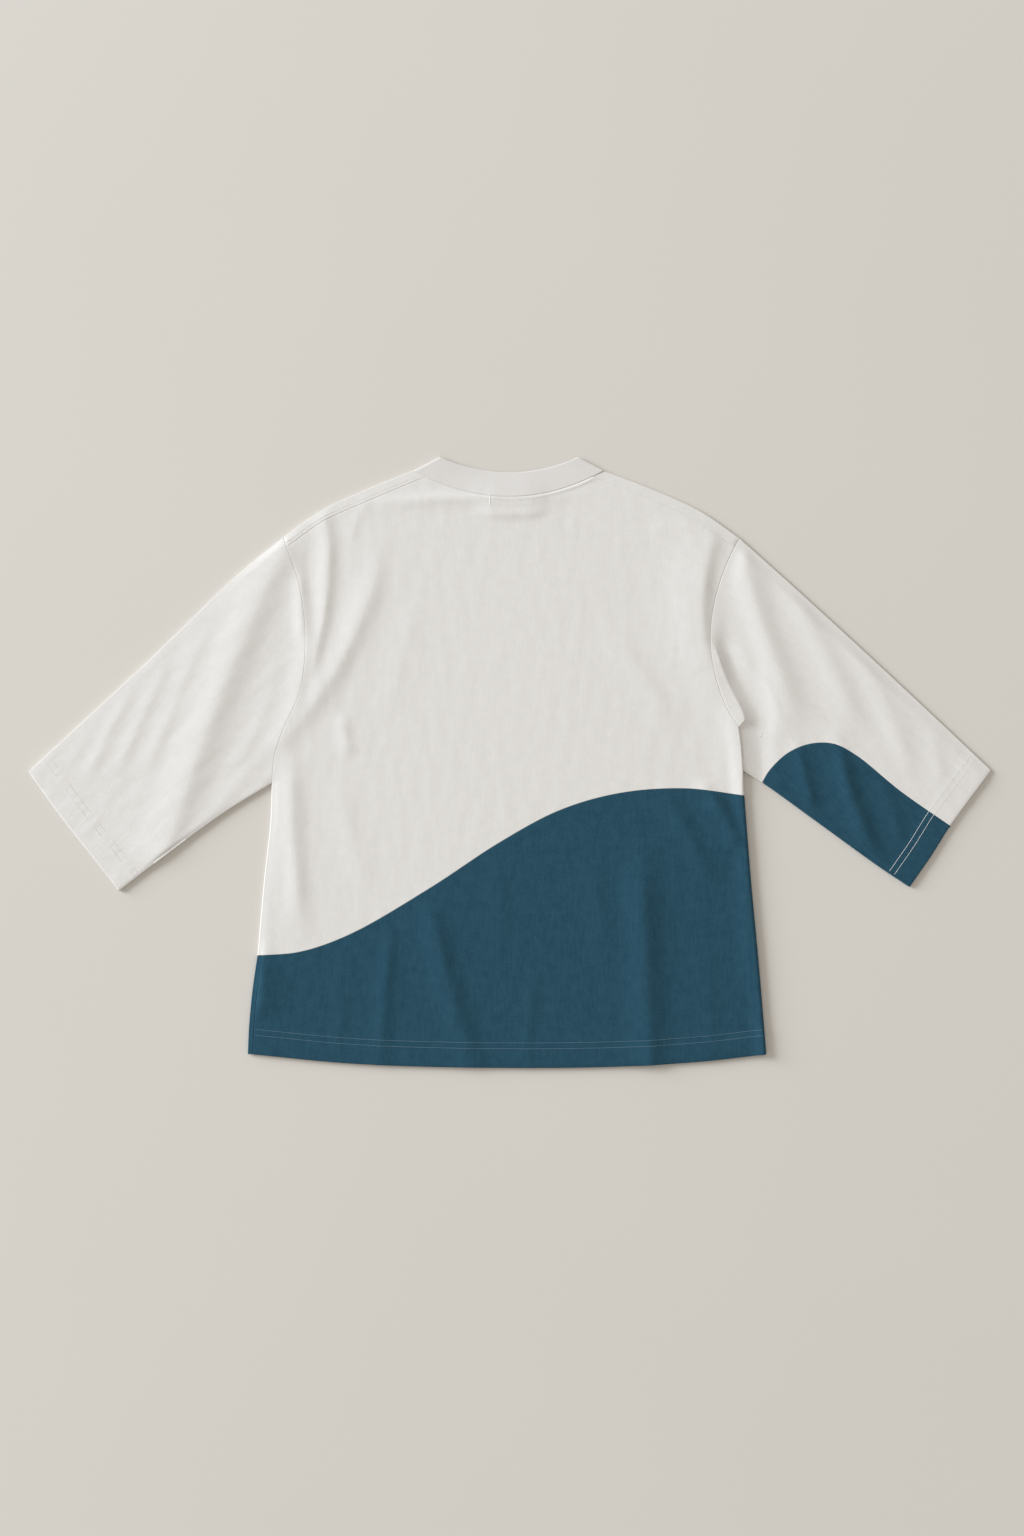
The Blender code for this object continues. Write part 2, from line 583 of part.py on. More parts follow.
def sleeve_right(finish):
    """The right sleeve: its cloth stands up in a pleat along the armhole, then drops beside the body.

    Past the start of the blue inset it ends along the wave, on the upper layer and on the lower one.
    """
    armhole = armhole_right()
    top, under = Line(SLEEVE_TOP_RIGHT), Line(SLEEVE_UNDER_RIGHT)
    crest, foot = pleat_runs(armhole, top, under)
    wave = Line(SLEEVE_WAVE)
    inside, turn, cuff = sleeve_end(top, wave, CUFF_RIGHT, len(armhole) - 1)
    start = (foot[-1] - armhole[-1]).length
    beside = [under.at(start), under.at((start + under.length) / 2), under.at(under.length)]
    right = joined(beside, wave_run())
    rows = patch(foot, inside, matching(top, foot[0], right, top.length - CUFF_HEM), right)
    rows = [armhole, crest] + rows + [turn, cuff]
    inset = 1 + len(beside)
    trim(rows, top=(0, len(armhole) - 1), right=(inset, len(rows) - 1))
    sections = []
    for number, row in enumerate(rows):
        hem = number >= len(rows) - 2
        tops = sleeve_heights(row, hem)
        if number > inset:
            tops[-1] = height(row[-1]) + (HEM_TOP - TOP if hem else 0.0)
        if number <= 2:
            tops = pleat_heights(tops, number == 2)
        sections.append(tube_section(row, tops, TURNED if hem else CLOTH, number <= inset))
    return cloth("sleeve_right", sections, finish)


def pleat_runs(armhole, top, under):
    """The crest of the pleat beside the right armhole and its foot, a point for each armhole point."""
    first = 1 + EAR_ROWS - PLEAT_ROWS
    edge = Line(PLEAT_EDGE).split(PLEAT_ROWS)
    crest, foot = [], []
    for number, point in enumerate(armhole):
        ahead, behind = armhole[min(number + 1, len(armhole) - 1)], armhole[max(number - 1, 0)]
        out = Vector((behind.y - ahead.y, ahead.x - behind.x)).normalized()
        along = edge[number - first] if first <= number <= first + PLEAT_ROWS else point + out * PLEAT_STEP
        crest.append(along)
        foot.append(along + out * PLEAT_RUN)
    for run, reach in ((crest, PLEAT_STEP), (foot, PLEAT_STEP + PLEAT_RUN)):
        run[0], run[-1] = top.at(reach), under.at(reach)
    return crest, foot


def pleat_heights(tops, at_foot):
    """Heights along the armhole, the pleat's crest and its foot: low beside the body, below the pleat."""
    first = 1 + EAR_ROWS - PLEAT_ROWS
    low_from = first if at_foot else first + PLEAT_ROWS
    changed = []
    for number, top in enumerate(tops):
        if at_foot and first <= number < first + PLEAT_EASE:
            top += (PLEAT_FOOT - top) * (number - first + 1) / (PLEAT_EASE + 1)
        elif number > low_from:
            top = PLEAT_FOOT
        changed.append(top)
    return changed


def wave_run():
    """Points of the sleeve's wave from the underarm edge to the hem, closer together where it rises."""
    wave = Line(SLEEVE_WAVE)
    reach = wave.length - CUFF_HEM
    return [wave.at(reach * (number / WAVE_ROWS) ** WAVE_SPREAD) for number in range(WAVE_ROWS + 1)]


def matching(line, start, run, end):
    """Points of a line abreast of each point of a run on the sleeve's other side."""
    axis = (run[-1] - run[0]).normalized()
    whole = (run[-1] - run[0]).dot(axis)
    first = (start - line.at(0)).length
    places = [first]
    for number, point in enumerate(run[1:], 1):
        place = first + (end - first) * (point - run[0]).dot(axis) / whole
        room = end - LEAST_STEP * (len(run) - 1 - number)
        places.append(min(max(place, places[-1] + LEAST_STEP), room))
    return [line.at(place) for place in places]


def wave_rows():
    """Sections of the blue inset, each from the wave to the underarm edge, with its hem's lines last."""
    wave, under = Line(SLEEVE_WAVE), Line(WAVE_UNDER_RIGHT)
    near = wave_run()
    far = matching(under, under.at(0), near, under.length - CUFF_HEM)
    rows = []
    for start, end in list(zip(near, far))[1:-1]:
        rows.append([start.lerp(end, number / WAVE_COLUMNS) for number in range(WAVE_COLUMNS + 1)])
    rows += sleeve_end(wave, under, CUFF_WAVE, WAVE_COLUMNS)
    return trim(rows, left=(0, len(rows) - 1))


def wave_back(finish):
    """The blue inset's upper layer, from the wave down to the underarm seam."""
    rows = wave_rows()
    sections = []
    for number, row in enumerate(rows):
        hem = number >= len(rows) - 2
        wall = TURNED if hem else CLOTH
        seam = row[-1] + (row[-2] - row[-1]).normalized() * (UNDERARM_SEAM + SEAM_GAP)
        row = [row[0].lerp(seam, column / WAVE_COLUMNS) for column in range(WAVE_COLUMNS + 1)]
        tops = [height(point) for point in row]
        if hem:
            tops = [max(top, TOP) + HEM_TOP - TOP for top in tops]
        tops[-1] = HEM_TOP if hem else TOP
        sections.append([(above(point, top), above(point, top - wall)) for point, top in zip(row, tops)])
    return cloth("sleeve_right_wave_back", sections, finish)


def wave_front(finish):
    """The blue inset's lower layer, turned up round the underarm edge to the seam."""
    rows = wave_rows()
    sections = []
    for number, row in enumerate(rows):
        hem = number >= len(rows) - 2
        wall, top = (TURNED, HEM_TOP) if hem else (CLOTH, TOP)
        inward = (row[-2] - row[-1]).normalized()
        points = [(above(point, 0.0), above(point, wall)) for point in row[:-1]]
        points += turned_edge(row[-1], inward, top, wall)[::-1]
        end = row[-1] + inward * UNDERARM_SEAM
        sections.append(points + [(above(end, top), above(end, top - wall))])
    return cloth("sleeve_right_wave_front", sections, finish)


def collar_across(seam, free):
    return [seam, (seam + free) / 2, free]


def collar(finish):
    """The rib: a doubled band round the neck, folded flat at both ends and joined at the front left."""
    seams = neck_run()
    middle = (COLLAR_END_LEFT.x + COLLAR_END_RIGHT.x) / 2
    half = (COLLAR_END_RIGHT.x - COLLAR_END_LEFT.x) / 2
    back = []
    for number, seam in enumerate(seams):
        across = 2 * number / NECK_COLUMNS - 1
        rise = (COLLAR_END_LEFT.y - COLLAR_BACK_LOW) * across * across
        back.append(collar_across(seam, Vector((middle + half * across, COLLAR_BACK_LOW + rise))))
    front = []
    for number in range(NECK_COLUMNS + 1):
        share = number / NECK_COLUMNS
        seam = bowl(SHOULDER_LEFT[-1], SHOULDER_RIGHT[-1], NECK_FRONT_LOW, share)
        front.append(collar_across(seam, bowl(COLLAR_END_LEFT, COLLAR_END_RIGHT, COLLAR_FRONT_LOW, share)))
    trim(back, left=(0, NECK_COLUMNS))
    trim(front, left=(0, NECK_COLUMNS))

    sections = []
    for number in range(1, NECK_COLUMNS):
        tops = rib_heights(back[number][0], min(number, NECK_COLUMNS - number))
        sections.append([(above(p, top), above(p, top - RIB)) for p, top in zip(back[number], tops)])
    sections += rib_end(back[-1], back[-2])
    for row in front[-2:0:-1]:
        sections.append([(above(point, 0.0), above(point, RIB)) for point in row])
    joint = [(a + b) / 2 for a, b in zip(front[0], front[1])]
    for gap, place in ((-SEAM_GAP / 2, len(sections)), (SEAM_GAP / 2, 0)):
        row = [point + (first - point).normalized() * gap for point, first in zip(joint, front[0])]
        sections.insert(place, [(above(point, 0.0), above(point, RIB)) for point in row])
    sections[1:1] = rib_end(back[0], back[1])[::-1]
    return cloth("collar", sections, finish)


def rib_heights(seam, steps):
    """Tops of the back rib from its seam to its free edge, which sinks to the surface midway."""
    sunk = smooth((steps - RIB_RISE_STEPS) / RIB_RISE_STEPS)
    low = RIB_TOP + (height(seam) - RIB_TOP) * sunk
    free = RIB_TOP + (RIB_SAG - RIB_TOP) * sunk
    return [low, (low + free) / 2, free]


def rib_end(edge, beside):
    """Sections round one folded end of the rib, from its top to its underside."""
    along = edge[-1] - edge[0]
    inward = Vector((along.y, -along.x)).normalized()
    if inward.dot(beside[0] - edge[0]) < 0:
        inward.negate()
    turned = [turned_edge(point, inward, RIB_TOP, RIB) for point in edge]
    sections = [list(section) for section in zip(*turned)]
    for section, degrees in zip(sections, FOLD_TURNS):
        slide = along.normalized() * (RIB_SLIDE + RIB_LEAN * (1 + math.sin(math.radians(degrees))) / 2)
        section[0] = tuple(point + above(slide, 0.0) for point in section[0])
    return sections


def build():
    for old in list(bpy.data.objects):
        bpy.data.objects.remove(old, do_unlink=True)
    white = material("white_jersey", WHITE)
    blue = material("blue_jersey", BLUE)
    rib = material("white_rib", RIB_WHITE)
    front_upper(white)
    front_lower(blue)
    back_upper(white)
    back_lower(blue)
    sleeve_left(white)
    sleeve_right(white)
    wave_back(blue)
    wave_front(blue)
    collar(rib)


build()
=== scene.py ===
import math
from collections import namedtuple

import bpy
import numpy as np
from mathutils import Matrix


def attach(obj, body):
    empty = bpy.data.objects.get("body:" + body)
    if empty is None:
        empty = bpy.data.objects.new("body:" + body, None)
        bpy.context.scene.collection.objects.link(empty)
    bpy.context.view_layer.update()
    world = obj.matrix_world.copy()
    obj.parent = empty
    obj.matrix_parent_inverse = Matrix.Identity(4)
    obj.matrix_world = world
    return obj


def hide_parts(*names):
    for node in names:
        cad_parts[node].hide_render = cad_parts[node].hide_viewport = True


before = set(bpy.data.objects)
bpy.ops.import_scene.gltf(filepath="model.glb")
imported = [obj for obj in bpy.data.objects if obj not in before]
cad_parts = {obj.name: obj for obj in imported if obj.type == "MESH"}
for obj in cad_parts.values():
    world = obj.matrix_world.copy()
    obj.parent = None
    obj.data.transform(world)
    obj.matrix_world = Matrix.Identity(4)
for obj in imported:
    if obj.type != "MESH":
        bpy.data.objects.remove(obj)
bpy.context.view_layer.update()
bpy.ops.object.select_all(action="DESELECT")

# The surface that the shirt lies on: a pale warm tabletop, smooth and matt. The camera looks straight
# down at it. The light is one wide soft source low on the left, with a pale surround that fills in.
MM = 0.001


def wired(node, inputs):
    """Set inputs of a node, each to a value or to the output of another node."""
    for name, value in inputs.items():
        if isinstance(value, bpy.types.NodeSocket):
            node.id_data.links.new(value, node.inputs[name])
        else:
            node.inputs[name].default_value = value


def new_material(name):
    """A new material, with nodes."""
    made = bpy.data.materials.new(name)
    made.use_nodes = True
    return made


def added(material, kind, output, inputs, **settings):
    """Add a node to a material, and give one of its outputs."""
    node = material.node_tree.nodes.new(kind)
    for name, value in settings.items():
        setattr(node, name, value)
    wired(node, inputs)
    return node.outputs[output]


def between(material, dark, light, share):
    """The colour that lies between two tones."""
    tones = {"A": dark, "B": light, "Factor": share}
    return added(material, "ShaderNodeMix", "Result", tones, data_type="RGBA")


def bumped(material, height, strength, distance):
    """The normal of a surface with a fine relief."""
    relief = {"Height": height, "Strength": strength, "Distance": distance}
    return added(material, "ShaderNodeBump", "Normal", relief)


bpy.ops.mesh.primitive_plane_add(size=5.0, location=(0.0, 0.0, -0.0003))
table = bpy.context.object
table.name = "table"
stone = new_material("pale_tabletop")
place = added(stone, "ShaderNodeTexCoord", "Object", {})
clouds = added(stone, "ShaderNodeTexNoise", "Fac", {"Vector": place, "Scale": 2.2, "Detail": 2.0})
tone = between(stone, (0.622, 0.588, 0.535, 1.0), (0.640, 0.606, 0.553, 1.0), clouds)
wired(stone.node_tree.nodes["Principled BSDF"],
      {"Base Color": tone, "Roughness": 0.95, "Specular IOR Level": 0.2})
table.data.materials.append(stone)

bpy.ops.object.camera_add(location=(0.0024, -0.0066, 2.562), rotation=(0.0, 0.0, 0.0))
camera = bpy.context.object
camera.data.lens = 50.0
camera.data.sensor_width = 36.0
bpy.context.scene.camera = camera

bpy.ops.object.light_add(type="AREA", location=(-12.17, 5.41, 4.33))
window = bpy.context.object
window.data.shape = "RECTANGLE"
window.data.size = 8.0
window.data.size_y = 6.0
window.data.energy = 3340.0
window.data.color = (0.86, 0.926, 1.0)
window.rotation_euler = (-window.location).to_track_quat("-Z", "Y").to_euler()
surround = bpy.data.worlds.new("surround")
surround.use_nodes = True
wired(surround.node_tree.nodes["Background"], {"Color": (1.0, 0.962, 0.913, 1.0), "Strength": 0.606})
bpy.context.scene.world = surround
bpy.context.scene.view_settings.view_transform = "Standard"

# The white upper front: heavy cotton jersey, flat on the table. It turns over both shoulders and ends
# at the shoulder seams on the back, so its outline and the folds that cross it are settled here.
Spot = namedtuple("Spot", "x y")
SHOULDER_LEFT = (Spot(-272, 270), Spot(-228, 301), Spot(-180, 324), Spot(-116, 350))
SHOULDER_RIGHT = (Spot(276, 269), Spot(228, 302), Spot(168, 329), Spot(113, 350))
SEAM_LEFT = (Spot(-268, 258), Spot(-224, 289), Spot(-176, 311), Spot(-101, 342.5))
SEAM_RIGHT = (Spot(269.5, 259), Spot(222, 291), Spot(163, 318), Spot(99, 342.5))
ARMHOLE_LEFT = (Spot(-268, 258), Spot(-254, 219), Spot(-246, 168), Spot(-246, 125), Spot(-252, 85),
                Spot(-270, 44), Spot(-282, 10), Spot(-286, -25))
ARMHOLE_RIGHT = (Spot(269.5, 259), Spot(257, 231), Spot(246, 195), Spot(240.5, 158), Spot(242, 125),
                 Spot(248, 97), Spot(259, 67), Spot(274, 43))
TUCK_RIGHT = (Spot(274, 43), Spot(277, 20), Spot(279.5, -10))
SIDE_LEFT = (Spot(-286, -25), Spot(-287.2, -69), Spot(-295, -141), Spot(-303, -231.5))
SIDE_RIGHT = (Spot(279.5, -10), Spot(280, -25), Spot(281, -39.5))
SIDE_LEFT_LOW = (Spot(-303, -231.5), Spot(-309, -273), Spot(-313, -315), Spot(-314.5, -349.5))
SIDE_RIGHT_LOW = (Spot(281, -39.5), Spot(289, -141), Spot(298, -237), Spot(307.5, -350))
BODY_WAVE = (Spot(-303, -231.5), Spot(-252, -227), Spot(-192, -206), Spot(-96, -150.5), Spot(-12, -95.5),
             Spot(60, -57), Spot(132, -36.5), Spot(210, -31), Spot(281, -39.5))
SLEEVE_TOP_LEFT = (Spot(-272, 270), Spot(-323.5, 227.8), Spot(-419.4, 135.2), Spot(-577.5, -11.5))
SLEEVE_UNDER_LEFT = (Spot(-286, -25), Spot(-342, -59.5), Spot(-432, -125.5), Spot(-469, -154))
HEM_EDGE = (Spot(-314.5, -349.5), Spot(-192, -361), Spot(-72, -365.5), Spot(108, -365.5), Spot(228, -359),
            Spot(307.5, -350))
CUFF_LEFT = (Spot(-577.5, -11.5), Spot(-536, -69), Spot(-498, -117), Spot(-469, -154))
NECK_LEFT, NECK_RIGHT = SHOULDER_LEFT[-1], SHOULDER_RIGHT[-1]
NECK_BACK_LOW = 318.5
NECK_FRONT_LOW = 257.0
WALL = 0.9          # thickness of the jersey
GAP = 0.04          # between the two edges of a seam
BASE = 3.6          # top of the upper layer where it lies smooth
LOWEST = 2.2        # and where it lies lowest
EDGE_KEEP = 0.15    # share of its height that a fold keeps at the shirt's own edges
EDGE_ROLL = 0.4     # how far in from a folded edge the cloth has turned flat
SOFT_ROLL = 1.2     # and on the right, where the folds are softer
ROLL = 0.5          # radius of a cloth edge as it turns into a seam
UNDER_ROLL = 0.8    # and on the layer underneath
SIDE_ROLL = 1.45    # and into the left side seam
SIDE_STEEP = 1.7    # how much steeper than round that turn is
RIGHT_SIDE = 7.3    # top of the shirt along its right side, which stands up
RIDGE_LEFT = 0.08   # height of the ridge beside the collar seam, on the left
RIDGE_RIGHT = 0.54  # and on the right
RIDGE_IN = 2.2      # from that seam to the ridge
RUMPLE = 0.00052    # height of the cloth's streaks, as a share of their width
RIPPLE = 0.07       # height of the ripples along a hem's stitching
HEM = 32.5          # depth of the body hem
CUFF_HEM = 33.0     # depth of the sleeve hems
COARSE = 6.0        # spacing of the mesh on the flat layer underneath
NEAR = (0.0, 0.35, 0.8, 1.4, 2.2, 3.4, 5.0)   # closer spacing beside a seam
FAR = 1e4           # further off than anything on the shirt


def line(spots, steps=12):
    """A smooth line through a few spots, as a run of close points."""
    spots = np.array(spots, float)
    ends = np.vstack([2 * spots[0] - spots[1], spots, 2 * spots[-1] - spots[-2]])
    runs = [spots[:1]]
    for before, start, end, after in zip(ends, ends[1:], ends[2:], ends[3:]):
        one = math.sqrt(np.linalg.norm(start - before))
        two = one + math.sqrt(np.linalg.norm(end - start))
        three = two + math.sqrt(np.linalg.norm(after - end))
        place = one + (two - one) * np.arange(1, steps + 1)[:, None] / steps

        def mixed(first, second, low, high):
            return first * (high - place) / (high - low) + second * (place - low) / (high - low)

        a, b, c = mixed(before, start, 0, one), mixed(start, end, one, two), mixed(end, after, two, three)
        a, b = mixed(a, b, 0, two), mixed(b, c, one, three)
        runs.append(mixed(a, b, one, two))
    return np.vstack(runs)


def as_run(spots):
    """The smooth line through a tuple of spots. A run of close points stays as it is."""
    return line(spots) if isinstance(spots, tuple) else spots


def reach(run):
    """How far along its run each point lies."""
    return np.concatenate([[0.0], np.cumsum(np.linalg.norm(np.diff(run, axis=0), axis=1))])


def at(run, places):
    """The points of a run at some distances along it."""
    along = reach(run)
    return np.stack([np.interp(places, along, run[:, n]) for n in range(run.shape[1])], axis=-1)


def matched(spots, places):
    """The points that share out a run as some distances share out their own length."""
    run = as_run(spots)
    return at(run, places / places[-1] * reach(run)[-1])


def spread(length, step, first=True, last=True):
    """Distances from 0 to a length, closer together beside a seam at the first or the last end."""
    head = np.array(NEAR if first else (0.0,))
    tail = length - np.array(NEAR if last else (0.0,))[::-1]
    count = max(round((tail[0] - head[-1]) / step), 1)
    return np.concatenate([head[:-1], np.linspace(head[-1], tail[0], count + 1), tail[1:]])


def patch(top, bottom, left, right):
    """A grid of points that fills the space between four runs."""
    u = (reach(top) / reach(top)[-1] + reach(bottom) / reach(bottom)[-1])[None, :, None] / 2
    v = (reach(left) / reach(left)[-1] + reach(right) / reach(right)[-1])[:, None, None] / 2
    grid = (1 - v) * top + v * bottom + (1 - u) * left[:, None] + u * right[:, None]
    grid -= (1 - u) * ((1 - v) * top[0] + v * bottom[0])
    return grid - u * ((1 - v) * top[-1] + v * bottom[-1])


def beside(points, run, within=FAR):
    """How far each point lies from a run, how far along it, and from 1 to -1 how much to its left.

    Points that are further off than within say so without being measured.
    """
    every = points.reshape(-1, 2)
    close = ((every > run.min(axis=0) - within) & (every < run.max(axis=0) + within)).all(axis=1)
    flat = every[close]
    best = np.full(len(flat), FAR)
    along, side = np.zeros(len(flat)), np.zeros(len(flat))
    for start, step, before in zip(run, np.diff(run, axis=0), reach(run)):
        length = math.hypot(*step)
        share = np.clip((flat - start) @ step / length ** 2, 0, 1)
        off = flat - start - share[:, None] * step
        far = np.hypot(off[:, 0], off[:, 1])
        nearer = far < best
        best[nearer] = far[nearer]
        along[nearer] = before + share[nearer] * length
        across = (step[0] * off[:, 1] - step[1] * off[:, 0]) / length
        side[nearer] = across[nearer] / np.maximum(far[nearer], 1e-6)
    found = np.zeros((3, len(every)))
    found[0] = FAR
    found[:, close] = best, along, side
    return found.reshape(3, *points.shape[:-1])


def smooth(share):
    """A share from 0 to 1 that starts and ends gently."""
    share = np.clip(share, 0, 1)
    return share * share * (3 - 2 * share)


# a fold's start, middle and end, its half widths left and right of the crest for one that falls down
# the shirt (below and above it for one that crosses), its rise, and how much of that its ends keep
Fold = namedtuple("Fold", "x0 y0 xm ym x1 y1 left right rise head tail")
BODY_FOLDS = (
    # the left sleeve
    Fold(-272, 250, -331, 123, -414, -105, 28, 19, 3.3, 0.8, 0.8),
    Fold(-258, 240, -245, 135, -276, 30, 14, 8, 1.1, 0.3, 0.3),
    Fold(-290, 17, -342, -45, -404, -106, 12, 9, 0.6, 0.2, 0.2),
    Fold(-278, 130, -300, 50, -342, -20, 11, 9, 0.4, 0.0, 0.0),
    Fold(-352, 183, -396, 87, -446, -36, 13, 9, 0.8, 0.0, 0.1),
    Fold(-402, 141, -434, 70, -480, -30, 11, 8, 0.7, 0.0, 0.1),
    Fold(-448, 95, -484, 30, -512, -30, 9, 8, 0.6, 0.0, 0.0),
    # the upper back, on the left
    Fold(-222, 292, -220, 200, -245, 85, 13, 8, 2.3, 0.6, 0.0),
    Fold(-250, 240, -251, 190, -249, 135, 8, 7, 1.1, 0.1, 0.0),
    Fold(-156, 262, -190, 147, -272, 26, 20, 13, 2.3, 0.2, 0.6),
    Fold(-182, 306, -186, 285, -192, 262, 7, 6, 0.5, 0.2, 0.0),
    Fold(-98, 219, -126, 135, -146, 39, 15, 12, 0.45, 0.0, 0.0),
    Fold(-200, 64, -198, 38, -188, 2, 10, 8, 1.1, 0.0, 0.0),
    Fold(-262, 30, -259, -105, -248, -222, 15, 12, 2.2, 0.0, 0.1),
    Fold(-205, 0, -190, -90, -158, -170, 16, 12, 0.7, 0.0, 0.0),
    # the upper back, in the middle and on the right
    Fold(-172, 310, -64, 317, 90, 318, 9, 7, 1.6, 0.3, 0.1),
    Fold(-50, 302, 4, 298, 54, 304, 6, 20, 1.7, 0.0, 0.0),
    Fold(164, 284, 196, 282, 228, 279, 10, 10, 0.5, 0.0, 0.0),
    Fold(106, 171, 156, 108, 206, 25, 19, 12, 0.9, 0.0, 0.0),
    Fold(239, 254, 230, 180, 240, 105, 38, 11, 3.3, 0.7, 0.2),
    Fold(240, 150, 258, 96, 284, 48, 34, 12, 2.6, 0.1, 0.9),
    Fold(283, 50, 282, 15, 284, -40, 26, 12, 1.8, 0.9, 0.1),
    # the lower back
    Fold(156, -85, 163, -237, 169, -362, 20, 16, 4.3, 0.0, 0.8),
    Fold(92, -100, 108, -180, 122, -262, 14, 12, 1.2, 0.0, 0.0),
    Fold(-98, -148, -78, -249, -44, -356, 18, 13, 3.3, 0.0, 0.6),
    Fold(-142, -192, -150, -273, -155, -358, 11, 9, 1.8, 0.0, 0.5),
    Fold(-297, -232, -295, -264, -300, -310, 7, 17, 2.4, 0.4, 0.1),
    Fold(188, -34, 214, -88, 256, -150, 12, 8, 2.3, 0.2, 0.0),
    Fold(236, -32, 260, -70, 284, -112, 14, 8, 4.0, 0.4, 0.2),
    Fold(277, -100, 284, -201, 291, -300, 11, 8, 1.7, 0.0, 0.1),
    Fold(-20, -100, -12, -170, -14, -250, 11, 10, 0.6, 0.0, 0.0),
    Fold(-206, -222, -202, -280, -206, -345, 9, 8, 0.6, 0.0, 0.3),
    Fold(30, -250, 24, -300, 22, -362, 10, 8, 0.7, 0.0, 0.6),
    Fold(232, -200, 238, -280, 240, -352, 13, 10, 0.6, 0.0, 0.4),
)
# the shirt's own edges: how far in they are felt, and the top of the cloth there
Edge = namedtuple("Edge", "spots felt top")
EDGES = (
    Edge(SHOULDER_LEFT[::-1] + SLEEVE_TOP_LEFT[1:], 7, 3.4), Edge(SHOULDER_RIGHT, 20, 2.6),
    Edge(SLEEVE_UNDER_LEFT, 5, 3.5), Edge(SIDE_LEFT, 9, 3.0), Edge(SIDE_LEFT_LOW, 9, 2.8),
    Edge(TUCK_RIGHT + SIDE_RIGHT[1:] + SIDE_RIGHT_LOW[1:], 19, RIGHT_SIDE),
)
# its seams: the height of the ripples that sewing left beside them, and their spacing
Seam = namedtuple("Seam", "spots height pitch")
SEWN = (
    Seam(SEAM_LEFT, 0.10, 9.0), Seam(SEAM_RIGHT, 0.10, 9.0), Seam(ARMHOLE_LEFT, 0.08, 11.0),
    Seam(BODY_WAVE, 0.05, 8.0),
)


def swell(points, folds):
    """How much the folds lift the cloth."""
    total = np.zeros(points.shape[:-1])
    for fold in folds:
        start, middle, end = np.array(fold[:6], float).reshape(3, 2)
        pull = 2 * middle - (start + end) / 2
        t = np.linspace(0, 1, 15)[:, None]
        path = (1 - t) ** 2 * start + 2 * t * (1 - t) * pull + t * t * end
        far, along, side = beside(points, path, 3 * max(fold.left, fold.right))
        along = along / reach(path)[-1]
        keep = (fold.head + (1 - fold.head) * smooth(along / 0.3))
        keep = keep * (fold.tail + (1 - fold.tail) * smooth((1 - along) / 0.3))
        width = fold.left + (fold.right - fold.left) * (0.5 + 0.5 * side)
        total += fold.rise * keep * np.exp(-(far / width) ** 1.8)
    return total


def on_grain(points, turn=0.0):
    """Each point's place on the knitted fabric: across its columns, and along them."""
    across = points[..., 0] * math.cos(turn) + points[..., 1] * math.sin(turn)
    along = points[..., 1] * math.cos(turn) - points[..., 0] * math.sin(turn)
    return np.stack([across, along], axis=-1)


def rumple(points, turn, seed):
    """The slight unevenness of washed jersey: shallow streaks along its columns, of many sizes."""
    random = np.random.default_rng(seed)
    across, along = np.moveaxis(on_grain(points, turn), -1, 0)
    total = np.zeros(points.shape[:-1])
    for _ in range(44):
        wide, tall = random.uniform(9, 34), random.uniform(50, 220)
        one, two, three = random.uniform(0, 2 * math.pi, 3)
        drift = 0.9 * np.sin(2 * math.pi * along / (tall * 1.7) + three)
        wave = np.sin(2 * math.pi * across / wide + one + drift) * np.sin(2 * math.pi * along / tall + two)
        total += RUMPLE * wide * wave
    return total


def pucker(points, seams):
    """The small ripples that sewing leaves in the cloth beside a seam."""
    total = np.zeros(points.shape[:-1])
    for spots, height, pitch in seams:
        far, along, _ = beside(points, line(spots), 25)
        phase = 2 * math.pi * along / pitch + 1.3 * np.sin(along / (1.9 * pitch)) + 0.7 * np.sin(along / 31)
        total += height * np.sin(phase) * np.exp(-far / 5.0)
    return total


def laid(points, folds, seams, edges, turn=0.0, seed=5):
    """Top of the upper layer, which comes down towards the shirt's edges. Its hems aren't in it yet."""
    tops = BASE + swell(points, folds) + rumple(points, turn, seed) + pucker(points, seams)
    for spots, felt, top in edges:
        far = beside(points, line(spots), felt)[0]
        tops = top + (tops - top) * (EDGE_KEEP + (1 - EDGE_KEEP) * smooth(far / felt))
    return np.maximum(tops, LOWEST)


def hem_lift(points, spots, depth, rise, ramp):
    """How much the turned-up cloth of a hem lifts what lies on it, with ripples along its stitching."""
    far, along, _ = beside(points, line(spots), depth + ramp)
    ripple = np.sin(2 * math.pi * along / 10.5 + 1.7 * np.sin(along / 23) + np.sin(along / 61))
    ripple = ripple * np.exp(-((far - depth + 5) / 6) ** 2)
    return rise * smooth((depth + ramp / 2 - far) / ramp) + RIPPLE * ripple


def span(left, right):
    """The middle between two spots, and half the distance from one to the other."""
    return (left.x + right.x) / 2, (right.x - left.x) / 2


def neck_back(x):
    """The collar seam on the back, a shallow bowl between the two neck points."""
    middle, half = span(NECK_LEFT, NECK_RIGHT)
    return np.stack([x, NECK_BACK_LOW + (NECK_LEFT.y - NECK_BACK_LOW) * ((x - middle) / half) ** 2], axis=-1)


neck_run = neck_back(np.linspace(NECK_LEFT.x, NECK_RIGHT.x, 60))


def body_top(points, turn=0.0):
    """Top of the upper layer on the body and the left sleeve."""
    far = beside(points, neck_run, 12)[0]
    ridge = RIDGE_LEFT + (RIDGE_RIGHT - RIDGE_LEFT) * smooth((points[..., 0] - 8) / 60)
    tops = laid(points, BODY_FOLDS, SEWN, EDGES, turn) + ridge * np.exp(-((far - RIDGE_IN) / 1.6) ** 2)
    tops = tops + hem_lift(points, HEM_EDGE, HEM, rise=0.6, ramp=9)
    return tops + hem_lift(points, CUFF_LEFT, CUFF_HEM, rise=0.3, ramp=16)


